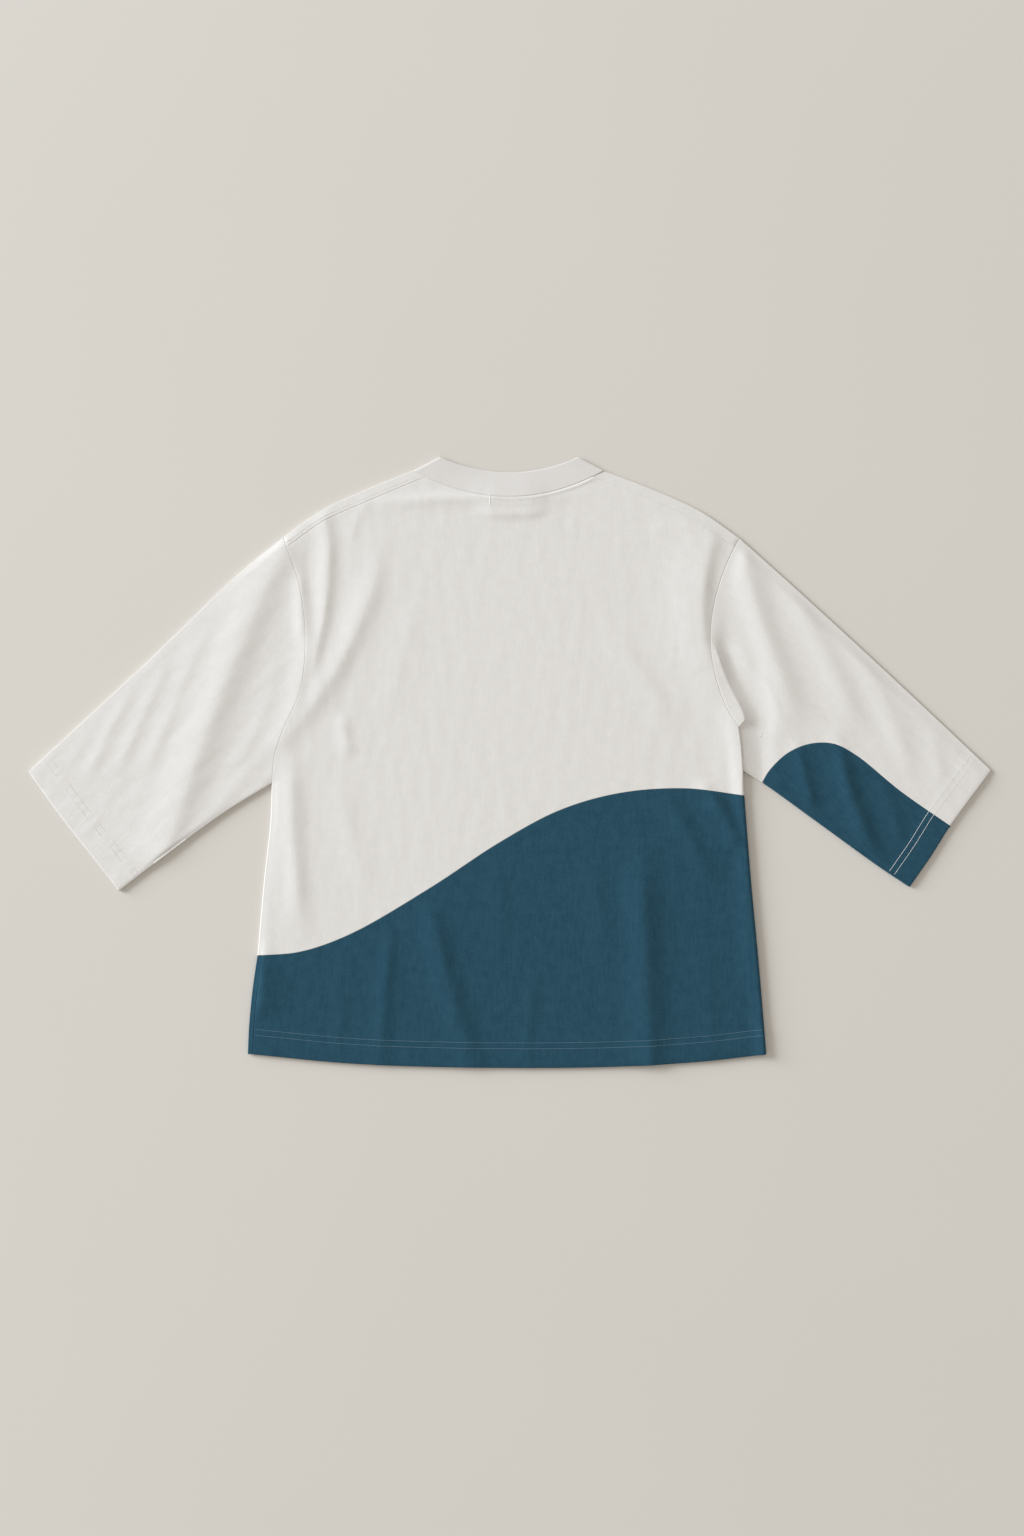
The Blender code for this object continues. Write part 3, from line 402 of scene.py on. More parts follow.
def turned(far, radius):
    """How far a cloth's edge drops as it turns into a seam."""
    inside = np.maximum(radius - far, 0)
    return radius - np.sqrt(radius ** 2 - inside ** 2)


def edge_drop(points, spots, radius, steep=1.0):
    """How far the cloth drops towards an edge, where it turns down."""
    return turned(beside(points, as_run(spots))[0] * steep, radius)


def seam_drop(points, spots, radius):
    """How far the cloth drops towards a seam, with half the seam's gap on each side of it."""
    return turned(beside(points, as_run(spots))[0] + GAP / 2, radius)


def raised(points, z):
    """Points of the plan, each at its height."""
    return np.concatenate([points, np.broadcast_to(z, points.shape[:-1])[..., None]], axis=-1)


def jersey(name, colour, shade, mottle, sheen, wale=1.0, course=0.8):
    """Matt cotton jersey: knitted columns of small loops, with faint streaks along them, and painted shade in
    the grooves where the loops lie low.
    """
    made = new_material(name)

    def maths(kind, first, second=0.0):
        return added(made, "ShaderNodeMath", "Value", {0: first, 1: second}, operation=kind)

    def plus(first, second):
        return maths("ADD", first, second)

    def times(first, second):
        return maths("MULTIPLY", first, second)

    def noise(across, along, scale, detail):
        drawn = added(made, "ShaderNodeMapping", "Vector", {"Vector": cut, "Scale": (across, along, 1.0)})
        return added(made, "ShaderNodeTexNoise", "Fac", {"Vector": drawn, "Scale": scale, "Detail": detail})

    cut = added(made, "ShaderNodeUVMap", "UV", {}, uv_map="UVMap")
    across = times(added(made, "ShaderNodeSeparateXYZ", "X", {"Vector": cut}), 1000.0 / wale)
    along = times(added(made, "ShaderNodeSeparateXYZ", "Y", {"Vector": cut}), 1000.0 / course)
    leg = maths("PINGPONG", across, 0.5)
    off_centre = maths("SUBTRACT", times(leg, 4.0), 1.0)
    round_leg = maths("SUBTRACT", 1.0, maths("POWER", off_centre, 2.0))
    loop = maths("SINE", times(plus(along, times(leg, 1.3)), 2 * math.pi))
    # the loops' height: it drives the bump, and below it also paints shade into the colour
    knit_loops_and_groove_shade = times(round_leg, plus(times(loop, 0.35), 0.65))
    streaks = noise(300.0, 50.0, 1.0, 3.0)
    clouds = noise(1.0, 1.0, 90.0, 4.0)
    fuzz = noise(1.0, 1.0, 420.0, 3.0)
    uneven = plus(plus(times(streaks, 0.3), times(fuzz, 0.4)), times(clouds, 0.3))
    patchy = plus(times(maths("SUBTRACT", uneven, 0.5), mottle), 0.62)
    # the colour is darker where the loops lie low: painted shade in the grooves between the columns of loops
    share = plus(patchy, times(maths("SUBTRACT", knit_loops_and_groove_shade, 0.4), 0.22))
    wired(made.node_tree.nodes["Principled BSDF"], {
        "Base Color": between(made, shade, colour, share),
        "Roughness": plus(0.84, times(fuzz, 0.14)),
        "Normal": bumped(made, plus(knit_loops_and_groove_shade, times(fuzz, 0.5)), 0.35, 0.00016),
        "Sheen Weight": sheen, "Sheen Roughness": 0.5, "Specular IOR Level": 0.15})
    return made


def cloth(name, points, finish, turn=0.0, up=True, cell=None, gone=None, wall=WALL, cut=None):
    """A sheet of cloth on a grid of points, its outer side, with its wall grown inwards.

    The cell that is named, or the middle one, faces up or down. gone marks cells to leave out.
    """
    rows, columns = points.shape[:2]
    cut = on_grain(points, turn) if cut is None else cut
    j, i = cell or (rows // 2, columns // 2)
    faces_up = np.cross(points[j, i + 1] - points[j, i], points[j + 1, i] - points[j, i])[2] > 0
    if faces_up != up:
        points, cut = points[::-1], cut[::-1]
        gone = None if gone is None else gone[::-1]
    bpy.ops.mesh.primitive_grid_add(x_subdivisions=columns - 1, y_subdivisions=rows - 1, size=1.0)
    piece = bpy.context.object
    piece.name = piece.data.name = name
    mesh = piece.data
    mesh.vertices.foreach_set("co", (points * MM).astype(np.float32).ravel())
    corners = np.zeros(len(mesh.loops), np.int32)
    mesh.loops.foreach_get("vertex_index", corners)
    mesh.uv_layers[0].data.foreach_set("uv", (cut.reshape(-1, 2)[corners] * MM).astype(np.float32).ravel())
    mesh.materials.append(finish)
    if gone is not None:
        faces = np.zeros((len(mesh.polygons), 4), np.int32)
        mesh.polygons.foreach_get("vertices", faces.ravel())
        lowest = faces.min(axis=1)
        left_out = gone[lowest // columns, lowest % columns]
        mesh.polygons.foreach_set("select", left_out)
        mesh.edges.foreach_set("select", np.zeros(len(mesh.edges), bool))
        mesh.vertices.foreach_set("select", np.zeros(len(mesh.vertices), bool))
        bpy.ops.object.mode_set(mode="EDIT")
        bpy.ops.mesh.select_mode(type="FACE")
        bpy.ops.object.mode_set(mode="OBJECT")
        mesh.polygons.foreach_set("select", left_out)
        bpy.ops.object.mode_set(mode="EDIT")
        bpy.ops.mesh.delete(type="FACE")
        bpy.ops.object.mode_set(mode="OBJECT")
    mesh.update()
    grown = piece.modifiers.new("wall", "SOLIDIFY")
    grown.thickness = wall * MM
    grown.offset = -1.0
    bpy.ops.object.modifier_apply(modifier="wall")
    places = np.zeros(len(mesh.vertices) * 3, np.float32)
    mesh.vertices.foreach_get("co", places)
    places[2::3] = np.maximum(places[2::3], 0.0)
    mesh.vertices.foreach_set("co", places)
    bpy.ops.object.shade_smooth_by_angle(angle=math.radians(50))
    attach(piece, "root")
    piece.select_set(False)
    return piece


def bowl(left, right, low, share):
    """Half an ellipse hung between two spots."""
    middle, half = span(left, right)
    angle = math.pi * share
    return np.stack([middle - half * np.cos(angle), left.y - (left.y - low) * np.sin(angle)], axis=-1)


def joined(first, *others):
    """One run through several that meet end to end."""
    return np.vstack([as_run(first)] + [as_run(other)[1:] for other in others])


HALF_TURN = np.radians((90, 67, 45, 22, 0, -22, -45, -67, -90))


def fold_over(edge, inward, top, roll=EDGE_ROLL):
    """Points round a folded edge, from its top to its underside, for each point of the edge."""
    return np.array([raised(edge + inward * roll * (1 - math.cos(angle)), top / 2 * (1 + math.sin(angle)))
                     for angle in HALF_TURN])


def unit(vectors):
    """Vectors of the same directions, each one long."""
    return vectors / np.linalg.norm(vectors, axis=-1, keepdims=True)


def square_to(run, towards):
    """Unit vectors square to a run, on the side of a spot that lies inwards."""
    along = np.gradient(run, axis=0)
    square = unit(np.stack([along[:, 1], -along[:, 0]], axis=-1))
    return square * np.sign(((np.array(towards) - run) * square).sum())


CREASE = 0.2          # how far each shoulder strip dips where it meets the sleeve
NECK_ROLL = 0.6       # radius of the front's edge at the neck
NECK_CLEAR = 2.0      # how far the mesh keeps from that edge
SHOULDER_STEPS = 34   # steps of the mesh along a shoulder
NECK_STEPS = 36       # and round the front of the neck
STRIP_SHARES = (0.0, 0.05, 0.11, 0.2, 0.35, 0.55, 0.78, 0.97)   # rows of a strip, from seam to fold


def from_armhole(spots):
    """Points along a shoulder's edge or seam, with the first two close together at the armhole."""
    run = line(spots)
    return at(run, np.insert(np.linspace(0, reach(run)[-1], SHOULDER_STEPS), 1, 2 * CREASE))


shoulder_left, shoulder_right = from_armhole(SHOULDER_LEFT), from_armhole(SHOULDER_RIGHT)
neck_front = bowl(NECK_LEFT, NECK_RIGHT, NECK_FRONT_LOW, np.linspace(0, 1, NECK_STEPS + 1))
top = joined(shoulder_left, neck_front, shoulder_right[::-1])
strip_end_left = np.array([SHOULDER_LEFT[0], SEAM_LEFT[0]], float)
strip_end_right = np.array([SHOULDER_RIGHT[0], SEAM_RIGHT[0]], float)
left = joined(strip_end_left, ARMHOLE_LEFT, SIDE_LEFT)
right = joined(strip_end_right, ARMHOLE_RIGHT, TUCK_RIGHT, SIDE_RIGHT)
rows = spread(reach(left)[-1], COARSE, first=False)
plan = patch(top, matched(BODY_WAVE, reach(top)), at(left, rows), matched(right, rows))
middle, half = span(NECK_LEFT, NECK_RIGHT)
below = np.clip((NECK_LEFT.y - plan[1:, :, 1]) / (NECK_LEFT.y - NECK_FRONT_LOW), 0, 1)
room = np.where(below < 1, half * np.sqrt(1 - below ** 2) + NECK_CLEAR, 0.0)
across = plan[1:, :, 0] - middle
plan[1:, :, 0] = np.where(np.abs(across) < room, middle + np.sign(across) * room, plan[1:, :, 0])
lift = np.maximum.reduce([
    edge_drop(plan, neck_front, NECK_ROLL), edge_drop(plan, SIDE_LEFT, SIDE_ROLL, SIDE_STEEP),
    edge_drop(plan, SIDE_RIGHT, RIGHT_SIDE / 2),
    *(edge_drop(plan, seam, UNDER_ROLL) for seam in (BODY_WAVE, ARMHOLE_LEFT, ARMHOLE_RIGHT, TUCK_RIGHT))])
lower = raised(plan, lift)

strips = []
for folded, seam_spots, start, towards, roll in (
        (shoulder_left, SEAM_LEFT, 0, (-150, 200), EDGE_ROLL),
        (shoulder_right[::-1], SEAM_RIGHT, SHOULDER_STEPS + NECK_STEPS, (150, 200), SOFT_ROLL)):
    seam = from_armhole(seam_spots)
    crease = np.insert(np.zeros(SHOULDER_STEPS), 0, CREASE)
    if start:
        seam, crease = seam[::-1], crease[::-1]
    inward = square_to(folded, towards)
    over = fold_over(folded, inward, body_top(folded + inward * roll), roll)
    strip = []
    for share in STRIP_SHARES:
        spot = seam * (1 - share) + over[0][:, :2] * share
        drop = turned(np.linalg.norm(spot - seam, axis=1) + GAP, ROLL)
        strip.append(raised(spot, body_top(spot) - np.maximum(drop, crease)))
    strips.append((start, np.concatenate([np.array(strip), over])))
extra = len(strips[0][1]) - 1
wraps = np.repeat(lower[:1], extra, axis=0)
gone = np.zeros((extra + lower.shape[0] - 1, lower.shape[1] - 1), bool)
gone[:extra] = True
for start, strip in strips:
    wraps[:, start:start + SHOULDER_STEPS + 1] = strip[:-1]
    lower[0, start:start + SHOULDER_STEPS + 1] = strip[-1]
    gone[:extra, start:start + SHOULDER_STEPS] = False
white = jersey("white_cotton_jersey", (0.738, 0.712, 0.676, 1.0), (0.655, 0.629, 0.595, 1.0), 2.2, 0.1)
points = np.concatenate([wraps, lower])
front_upper = cloth("upper_front_panel", points, white, up=False, gone=gone)
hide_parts("front_upper")

# The blue lower front: jersey, flat on the table, seamed to the white along the wave. Its hem is turned
# up inside, and its left edge wraps a little way over the back, up to the side seam.
WRAP = 6.0          # how far the front wraps over the left edge of the lower back
WRAP_SHARES = (1.0, 0.95, 0.87, 0.7, 0.4, 0.05)   # the wrap's columns, from the side seam to the fold
WRAP_EASE = 12.0    # how far in the flat layer makes room for the fold
HEM_ROLL = 0.95     # radius of a turned-up hem's edge


def with_hem(grid, depth, side):
    """A grid with its last rows turned up inside: round the hem's edge, then back along the inside."""
    along, across = np.gradient(grid, axis=0), np.gradient(grid, axis=1)
    across = np.where(np.linalg.norm(across, axis=2, keepdims=True) > 1e-6, across, (1e-6, 0, 0))
    outward = np.cross(along, across) * side
    outward /= np.maximum(np.linalg.norm(outward, axis=2, keepdims=True), 1e-9)
    ahead = unit(along[-1] * (1, 1, 0))
    far = np.linalg.norm((grid[-1] - grid)[..., :2], axis=2).mean(axis=1)
    keep = far > HEM_ROLL * 1.2
    turn = []
    for angle in np.radians((90, 60, 30, 0, -30, -60, -90)):
        out = ahead * (math.cos(angle) - 1) + outward[-1] * (math.sin(angle) - 1)
        turn.append(grid[-1] + out * HEM_ROLL)
    inside = [grid[n] - outward[n] * 2 * HEM_ROLL for n in range(len(grid)) if keep[n] and far[n] < depth]
    return np.concatenate([grid[keep], np.array(turn), np.array(inside[::-1])])


def lower_plan(step, left_line):
    """The lower body's grid: rows from the wave to the hem's edge, columns from left to right."""
    wave, hem = line(BODY_WAVE), line(HEM_EDGE)
    wave = np.vstack([left_line[:1], wave[wave[:, 0] > left_line[0, 0] + 1]])
    hem = np.vstack([left_line[-1:], hem[hem[:, 0] > left_line[-1, 0] + 1]])
    across = spread(reach(hem)[-1], step)
    down = spread(reach(left_line)[-1], step, last=False)
    return patch(matched(wave, across), at(hem, across), at(left_line, down), matched(SIDE_RIGHT_LOW, down))


left_line = line(SIDE_LEFT_LOW)
plan = lower_plan(COARSE, left_line)
edge = plan[:, 0]
inward = square_to(edge, (0, -290))
lift = np.maximum(edge_drop(plan, BODY_WAVE, UNDER_ROLL), edge_drop(plan, SIDE_RIGHT_LOW, RIGHT_SIDE / 2))
flat = raised(plan, lift)
slide = 1 - np.minimum(beside(plan, left_line, WRAP_EASE)[0] / WRAP_EASE, 1)
flat[..., :2] += inward[:, None] * EDGE_ROLL * slide[..., None]
over = fold_over(edge, inward, body_top(edge + inward * EDGE_ROLL))
strip = []
for share in WRAP_SHARES:
    across = EDGE_ROLL + (WRAP - EDGE_ROLL) * share
    spot = edge + inward * across
    strip.append(raised(spot, body_top(spot) - turned(np.array(WRAP - across + GAP), ROLL)))
wrap = np.concatenate([np.array(strip), over]).transpose(1, 0, 2)
grid = np.concatenate([wrap[:, :-1], flat], axis=1)
grid[:, wrap.shape[1] - 1, 2] = wrap[:, -1, 2]
blue = jersey("blue_cotton_jersey", (0.0205, 0.0735, 0.110, 1.0), (0.0115, 0.050, 0.081, 1.0), 3.6, 0.04)
front_lower = cloth("lower_front_panel", with_hem(grid, HEM, -1), blue, up=False)
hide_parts("front_lower")

# The white upper back: jersey, laid over the front with the folds it fell into. It is seamed to the
# front's shoulder strips, the rib, both sleeves and the blue, and hangs over the right sleeve's fold.
STEP = 3.0          # spacing of the mesh on the upper layer
DEEP_ROLL = 0.85    # radius of the cloth's edge into the armhole beside the right shoulder
WAVE_ROLL = 0.3     # and into the flat seams between white and blue
TUCK_ROLL = 1.5     # and where the body hangs over the right sleeve
TUCK_STEEP = 2.2    # how much steeper than round that edge is


def hole_roll(points):
    """Radius of the cloth's edge along the right armhole, whose seam lies deeper near the shoulder."""
    return np.interp(points[..., 1], (150, 230), (ROLL, DEEP_ROLL))


collar_seam = neck_back(np.linspace(SEAM_LEFT[-1].x, SEAM_RIGHT[-1].x, 64))
seam_left = line(SEAM_LEFT)
places = spread(reach(seam_left)[-1], STEP, last=False)
top = joined(at(seam_left, places), collar_seam, matched(SEAM_RIGHT, places)[::-1])
left, right = joined(ARMHOLE_LEFT, SIDE_LEFT), joined(ARMHOLE_RIGHT, TUCK_RIGHT, SIDE_RIGHT)
rows = spread(reach(left)[-1], STEP)
plan = patch(top, matched(BODY_WAVE, reach(top)), at(left, rows), matched(right, rows))
radius = np.interp(plan[..., 1], (SIDE_RIGHT[-1].y, TUCK_RIGHT[1].y), (RIGHT_SIDE / 2, TUCK_ROLL))
steep = np.interp(plan[..., 1], (SIDE_RIGHT[-1].y, SIDE_RIGHT[0].y), (1.0, TUCK_STEEP))
drop = np.maximum.reduce([
    *(seam_drop(plan, seam, ROLL) for seam in (SEAM_LEFT, SEAM_RIGHT, collar_seam, ARMHOLE_LEFT)),
    seam_drop(plan, ARMHOLE_RIGHT, hole_roll(plan)), seam_drop(plan, BODY_WAVE, WAVE_ROLL),
    edge_drop(plan, SIDE_LEFT, SIDE_ROLL, SIDE_STEEP),
    edge_drop(plan, TUCK_RIGHT + SIDE_RIGHT[1:], radius, steep)])
back_upper = cloth("upper_back_panel", raised(plan, body_top(plan) - drop), white)
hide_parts("back_upper")

# The blue lower back: jersey, laid over the lower front, with its hem turned up inside. It hangs from
# the wave seam in soft folds that run down into the hem.
SIDE_SEAM_LOW = (Spot(-297.2, -231.4), Spot(-303.1, -273), Spot(-307.0, -315), Spot(-308.5, -350.2))
SIDE_SEAM_ROLL = 1.0    # radius of the cloth's edge into that seam
plan = lower_plan(STEP, line(SIDE_SEAM_LOW))
drop = np.maximum.reduce([
    seam_drop(plan, BODY_WAVE, WAVE_ROLL), seam_drop(plan, SIDE_SEAM_LOW, SIDE_SEAM_ROLL),
    edge_drop(plan, SIDE_RIGHT_LOW, RIGHT_SIDE / 2)])
points = with_hem(raised(plan, body_top(plan) - drop), HEM, 1)
back_lower = cloth("lower_back_panel", points, blue, cell=(20, 100))
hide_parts("back_lower")

# The left sleeve: one piece of white jersey, folded round into a flat tube. It is sewn along the
# underarm, a little way in from the edge, and to the body round the armhole, and its hem is turned up.
LEFT_TURN = math.radians(-45)   # how far the sleeve's knitted columns turn from upright
UNDERARM_SEAM = 3.0   # from the underarm seam to the sleeve's edge
UNDERARM_ROLL = 0.2   # radius of the cloth's edge into that seam
BESIDE_ROLL = 0.3     # from the roll of a folded edge to the first points on the flat
PAST_MARK = 0.3       # and from a mark to the first points past it
SLEEVE_COLUMNS = 84   # steps of the mesh across the upper layer
MARK_COLUMNS = 14     # those of them that lie past a mark
SECTION_SPOTS = 60    # spots across the sleeve's plan


def shares(count, length=1000.0, first=True, last=True):
    """Shares of a length, closer together beside a seam at the first or the last end."""
    return spread(length, length / count, first, last) / length


def columns(end, mark, roll):
    """Distances along a sleeve's section, closer together beside its end and on both sides of a mark."""
    if mark is None:
        places = roll + (end - roll) * shares(SLEEVE_COLUMNS, first=False)
    else:
        before = roll + (mark - roll) * shares(SLEEVE_COLUMNS - MARK_COLUMNS, first=False)
        after = mark + PAST_MARK + (end - mark - PAST_MARK) * shares(MARK_COLUMNS, 200.0)
        places = np.concatenate([before, after])
    return np.insert(places, 1, roll + BESIDE_ROLL)


def underarm_drop(points, edge):
    """How far the cloth drops into the underarm seam, which lies a little way in from the edge."""
    return turned(np.abs(beside(points, edge)[0] - UNDERARM_SEAM) + GAP / 2, UNDERARM_ROLL)


def tube_row(row, tops, lift, closed=True, mark=None, roll=EDGE_ROLL):
    """One section of a flattened sleeve: from the underarm seam over the top, and back beneath.

    tops and lift are functions: the height of the upper layer, and how far the lower one is raised.
    """
    length = reach(row)[-1]
    first, last = unit(row[1] - row[0]), unit(row[-2] - row[-1])
    end = length - (UNDERARM_SEAM if closed else 0.0)
    places = columns(end, mark, roll)
    upper = at(row, places)
    heights = tops(upper, places / length)
    over = fold_over(row[:1], first[None], heights[:1], roll)[:, 0]
    end = length - (roll if closed else 0.0)
    under = at(row, np.linspace(roll, end, SLEEVE_COLUMNS // 2 + 1))
    pieces = [raised(upper[:0:-1], heights[:0:-1]), over, raised(under[1:-1], lift(under[1:-1]))]
    seam_place = np.array([1 - (UNDERARM_SEAM - 2 * GAP) / length])
    if closed:
        tail = at(row, seam_place * length)
        tail_top = tops(tail, seam_place)
        turn = fold_over(row[-1:], last[None], tail_top, roll)[::-1, 0]
        pieces += [turn, raised(tail, tail_top)]
    else:
        pieces.append(np.repeat(raised(under[-1:], lift(under[-1:])), len(HALF_TURN) + 1, axis=0))
    return np.concatenate(pieces)


armhole = joined(strip_end_left, ARMHOLE_LEFT)
across = np.linspace(0, 1, SECTION_SPOTS)
top_line, under_line = line(SLEEVE_TOP_LEFT), line(SLEEVE_UNDER_LEFT)
rows = spread(reach(top_line)[-1], STEP, last=False)
plan = patch(matched(armhole, across), matched(CUFF_LEFT, across),
             at(top_line, rows), matched(under_line, rows))


def left_top(points, share):
    """Heights on the left sleeve, with its seams."""
    drop = np.maximum(seam_drop(points, armhole, ROLL), underarm_drop(points, under_line))
    return body_top(points, LEFT_TURN) - drop


def left_lift(points):
    """How far the lower layer rises to the armhole seam."""
    return edge_drop(points, armhole, UNDER_ROLL)


sections = np.array([tube_row(row, left_top, left_lift) for row in plan])
points = with_hem(sections, CUFF_HEM, -1)
sleeve_left = cloth("left_sleeve", points, white, LEFT_TURN, cell=(60, 40))
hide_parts("sleeve_left")

# The right sleeve: the same piece of white jersey on the other side, with a blue inset at the underarm.
# Its top stands up in a pleat beside the armhole, then drops and passes under the body's edge.
SLEEVE_TOP_RIGHT = (Spot(276, 269), Spot(348, 204.5), Spot(468, 94), Spot(577.5, -9))
SLEEVE_UNDER_RIGHT = (Spot(279.5, -10), Spot(302.5, -24), Spot(372, -74), Spot(444, -126),
                      Spot(479.5, -149.5))
CUFF_RIGHT = (Spot(577.5, -9), Spot(528, -76), Spot(506, -111), Spot(479.5, -149.5))
PLEAT_EDGE = (Spot(243, 147), Spot(249, 129), Spot(260, 99), Spot(279, 60), Spot(281, 51))
SLEEVE_WAVE = (Spot(302.5, -24), Spot(312, -8.5), Spot(334, 12), Spot(360, 22.5), Spot(388, 22.5),
               Spot(415, 9), Spot(468, -34), Spot(528, -76))
RIGHT_TURN = math.radians(44)   # how far the sleeve's knitted columns turn from upright
UNDER_TOP = 5.4     # top of the sleeve where it comes out from under the body
VALLEY = 2.05       # and at the bottom of the slope beside it
STRIP = 2.0         # from the armhole seam to the crest, where there is no pleat
BODY_FELT = 22.0    # how far from the armhole the body's height is felt
VALLEY_SLOPE = 24.0   # how long the slope is that leads up out of the valley
FALL_CURVE = 1.6    # how much faster than evenly the pleat falls just past its crest
BLUE_START = 26.9   # where the blue begins, along the underarm
WAVE_ROWS = 96      # steps of the mesh along the blue
RIGHT_FOLDS = (
    Fold(276, 262, 306, 155, 356, 30, 17, 16, 3.0, 0.6, 0.0),
    Fold(318, 228, 378, 132, 424, 20, 17, 14, 1.9, 0.0, 0.0),
    Fold(372, 177, 440, 90, 488, -30, 14, 13, 1.4, 0.0, 0.0),
    Fold(300, 120, 322, 60, 340, 14, 12, 10, 0.6, 0.0, 0.2),
    Fold(345, 20, 354, -20, 366, -60, 10, 8, 2.6, 0.3, 0.2),
    Fold(392, 30, 411, -45, 442, -116, 12, 10, 4.2, 0.2, 0.3),
    Fold(440, -10, 458, -60, 476, -110, 11, 9, 1.2, 0.0, 0.1),
    Fold(500, 50, 512, 10, 520, -50, 12, 10, 0.6, 0.0, 0.0),
)
RIGHT_SEWN = (Seam(SLEEVE_WAVE, 0.07, 8.0),)
RIGHT_EDGES = (Edge(SHOULDER_RIGHT, 20, 2.6), Edge(SLEEVE_TOP_RIGHT, 16, 2.1),
               Edge(SLEEVE_UNDER_RIGHT, 9, 3.0))
# rows of the pleat: how far over its strip, and how far past its crest
Pleat = namedtuple("Pleat", "over past")
PLEAT = (
    Pleat(0.0, 0.0), Pleat(0.05, 0.0), Pleat(0.12, 0.0), Pleat(0.24, 0.0), Pleat(0.45, 0.0), Pleat(0.7, 0.0),
    Pleat(0.9, 0.0), Pleat(1.0, 0.15), Pleat(1.0, 0.5), Pleat(1.0, 1.0), Pleat(1.0, 1.7), Pleat(1.0, 2.6),
    Pleat(1.0, 3.7), Pleat(1.0, 5.0),
)
hole, tuck = line(ARMHOLE_RIGHT), line(TUCK_RIGHT)
half_way = reach(hole)[-1] / 2
upper_part = np.vstack([matched(strip_end_right, np.linspace(0, 1, 4))[:-1],
                        at(hole, np.linspace(0, half_way, 24))[:-1]])
pleat_part = at(hole, np.linspace(half_way, 2 * half_way, 34))
tuck_part = at(tuck, np.concatenate([[0.4, 1.5, 3.0], np.linspace(5, reach(tuck)[-1], 10)]))
armhole = np.vstack([upper_part, pleat_part, tuck_part])
first, last = len(upper_part), len(upper_part) + len(pleat_part)
crest = armhole - square_to(armhole, (0, 100)) * STRIP
crest[first:last] = matched(PLEAT_EDGE, np.linspace(0, 1, last - first))
away = -square_to(crest, (0, 100))


def down_armhole(above, below, start, end):
    """Values along the armhole, which change from one to the other between two heights of the plan."""
    return above + (below - above) * smooth((start - armhole[:, 1]) / (start - end))


pleated = down_armhole(0, 1, 160, 130)    # how much of a pleat there is
pleated[last:] = 1.0
valley = down_armhole(9, 18, 110, 60)     # how far past the crest the valley reaches
fall = down_armhole(15, 22, 60, 20)       # how far past it the pleat has lost its height
seam_tops = body_top(armhole)
seam_tops[last:] = UNDER_TOP
top_line, under_line = line(SLEEVE_TOP_RIGHT), line(SLEEVE_UNDER_RIGHT)


def right_top(points):
    """Top of the upper layer on the right sleeve, before the pleat beside the armhole is added."""
    tops = laid(points, RIGHT_FOLDS, RIGHT_SEWN, RIGHT_EDGES, RIGHT_TURN, seed=11)
    far, along, _ = beside(points, crest)
    low = np.interp(along, reach(crest), pleated)
    wide = np.interp(along, reach(crest), valley)
    tops = tops + (VALLEY - tops) * low * (1 - smooth((far - wide) / VALLEY_SLOPE))
    return tops + hem_lift(points, CUFF_RIGHT, CUFF_HEM, rise=0.3, ramp=8)


def blended(points, place, row, far, past):
    """Heights between the body's, beside the armhole, and the sleeve's own, down the side of the pleat."""
    base, fold, run = (np.interp(place, reach(row), values) for values in (seam_tops, pleated, fall))
    fallen = 1 - (1 - np.clip(past / run, 0, 1)) ** FALL_CURVE
    share = smooth(far / BODY_FELT) * (1 - fold) + fallen * fold
    return base + (right_top(points) - base) * share


def sleeve_top(points, share=None):
    """Heights on the right sleeve, past its pleat."""
    far, along, _ = beside(points, armhole)
    tops = blended(points, along, armhole, far, beside(points, crest)[0])
    return tops - underarm_drop(points, under_line)


def blue_side_top(points, share=None):
    """Heights where a row of the sleeve ends at the blue."""
    return sleeve_top(points) - seam_drop(points, wave, WAVE_ROLL)


pleat_rows = []
for step in PLEAT:
    row = armhole + (crest - armhole) * step.over + away * step.past
    row[0] = at(top_line, [STRIP * step.over + step.past])[0]
    row[-1] = at(under_line, [STRIP * step.over + step.past])[0]
    pleat_rows.append(row)
foot = pleat_rows[-1]
ear = last - 1
ear_share = reach(foot)[ear] / reach(foot)[-1]


def pleat_top(row, past):
    """A function for the heights on one row of the pleat, which lies so far past the crest."""
    along = reach(row)

    def tops(points, share):
        place = share * along[-1]
        far = np.interp(place, along, np.linalg.norm(row - armhole, axis=1))
        drop = turned(far + GAP / 2, hole_roll(points)) * (place < along[ear] + 0.1)
        return blended(points, place, row, far, past) - drop

    return tops


def wave_shares(curve):
    """Shares of the length of the wave, closer together at its start."""
    return (np.arange(WAVE_ROWS + 1) / WAVE_ROWS) ** curve


def abreast(run, start, end, least):
    """Distances along the sleeve's other edge that keep abreast of the points of a run."""
    axis = unit(run[-1] - run[0])
    places = start + (end - start) * ((run - run[0]) @ axis) / ((run[-1] - run[0]) @ axis)
    for n in range(1, len(places)):
        places[n] = max(places[n], places[n - 1] + least)
    room = end - least * np.arange(len(places))[::-1]
    return np.minimum(places, room)


wave = line(SLEEVE_WAVE)
wave_length = reach(wave)[-1]
pleat_end = STRIP + PLEAT[-1].past
under_places = np.linspace(pleat_end, BLUE_START, 9)
right = joined(at(under_line, under_places), at(wave, wave_length * wave_shares(1.25)))
left = at(top_line, abreast(right, pleat_end, reach(top_line)[-1], 0.8))
cuff = line(CUFF_RIGHT)
cuff_split = np.argmin(np.linalg.norm(cuff - wave[-1], axis=1))
white_cuff, blue_cuff = cuff[:cuff_split + 1], cuff[cuff_split:]
outer = patch(foot, matched(white_cuff, reach(foot)), left, right)
plan = np.concatenate([np.array(pleat_rows[:-1]), outer])
blue_row = len(PLEAT) + len(under_places) - 2    # the row where the blue begins


def right_lift(points):
    """How far the lower layer rises to the armhole seam and to the blue's."""
    drop = edge_drop(points, armhole, UNDER_ROLL) + edge_drop(points, wave, UNDER_ROLL)
    return np.minimum(drop, UNDER_ROLL)


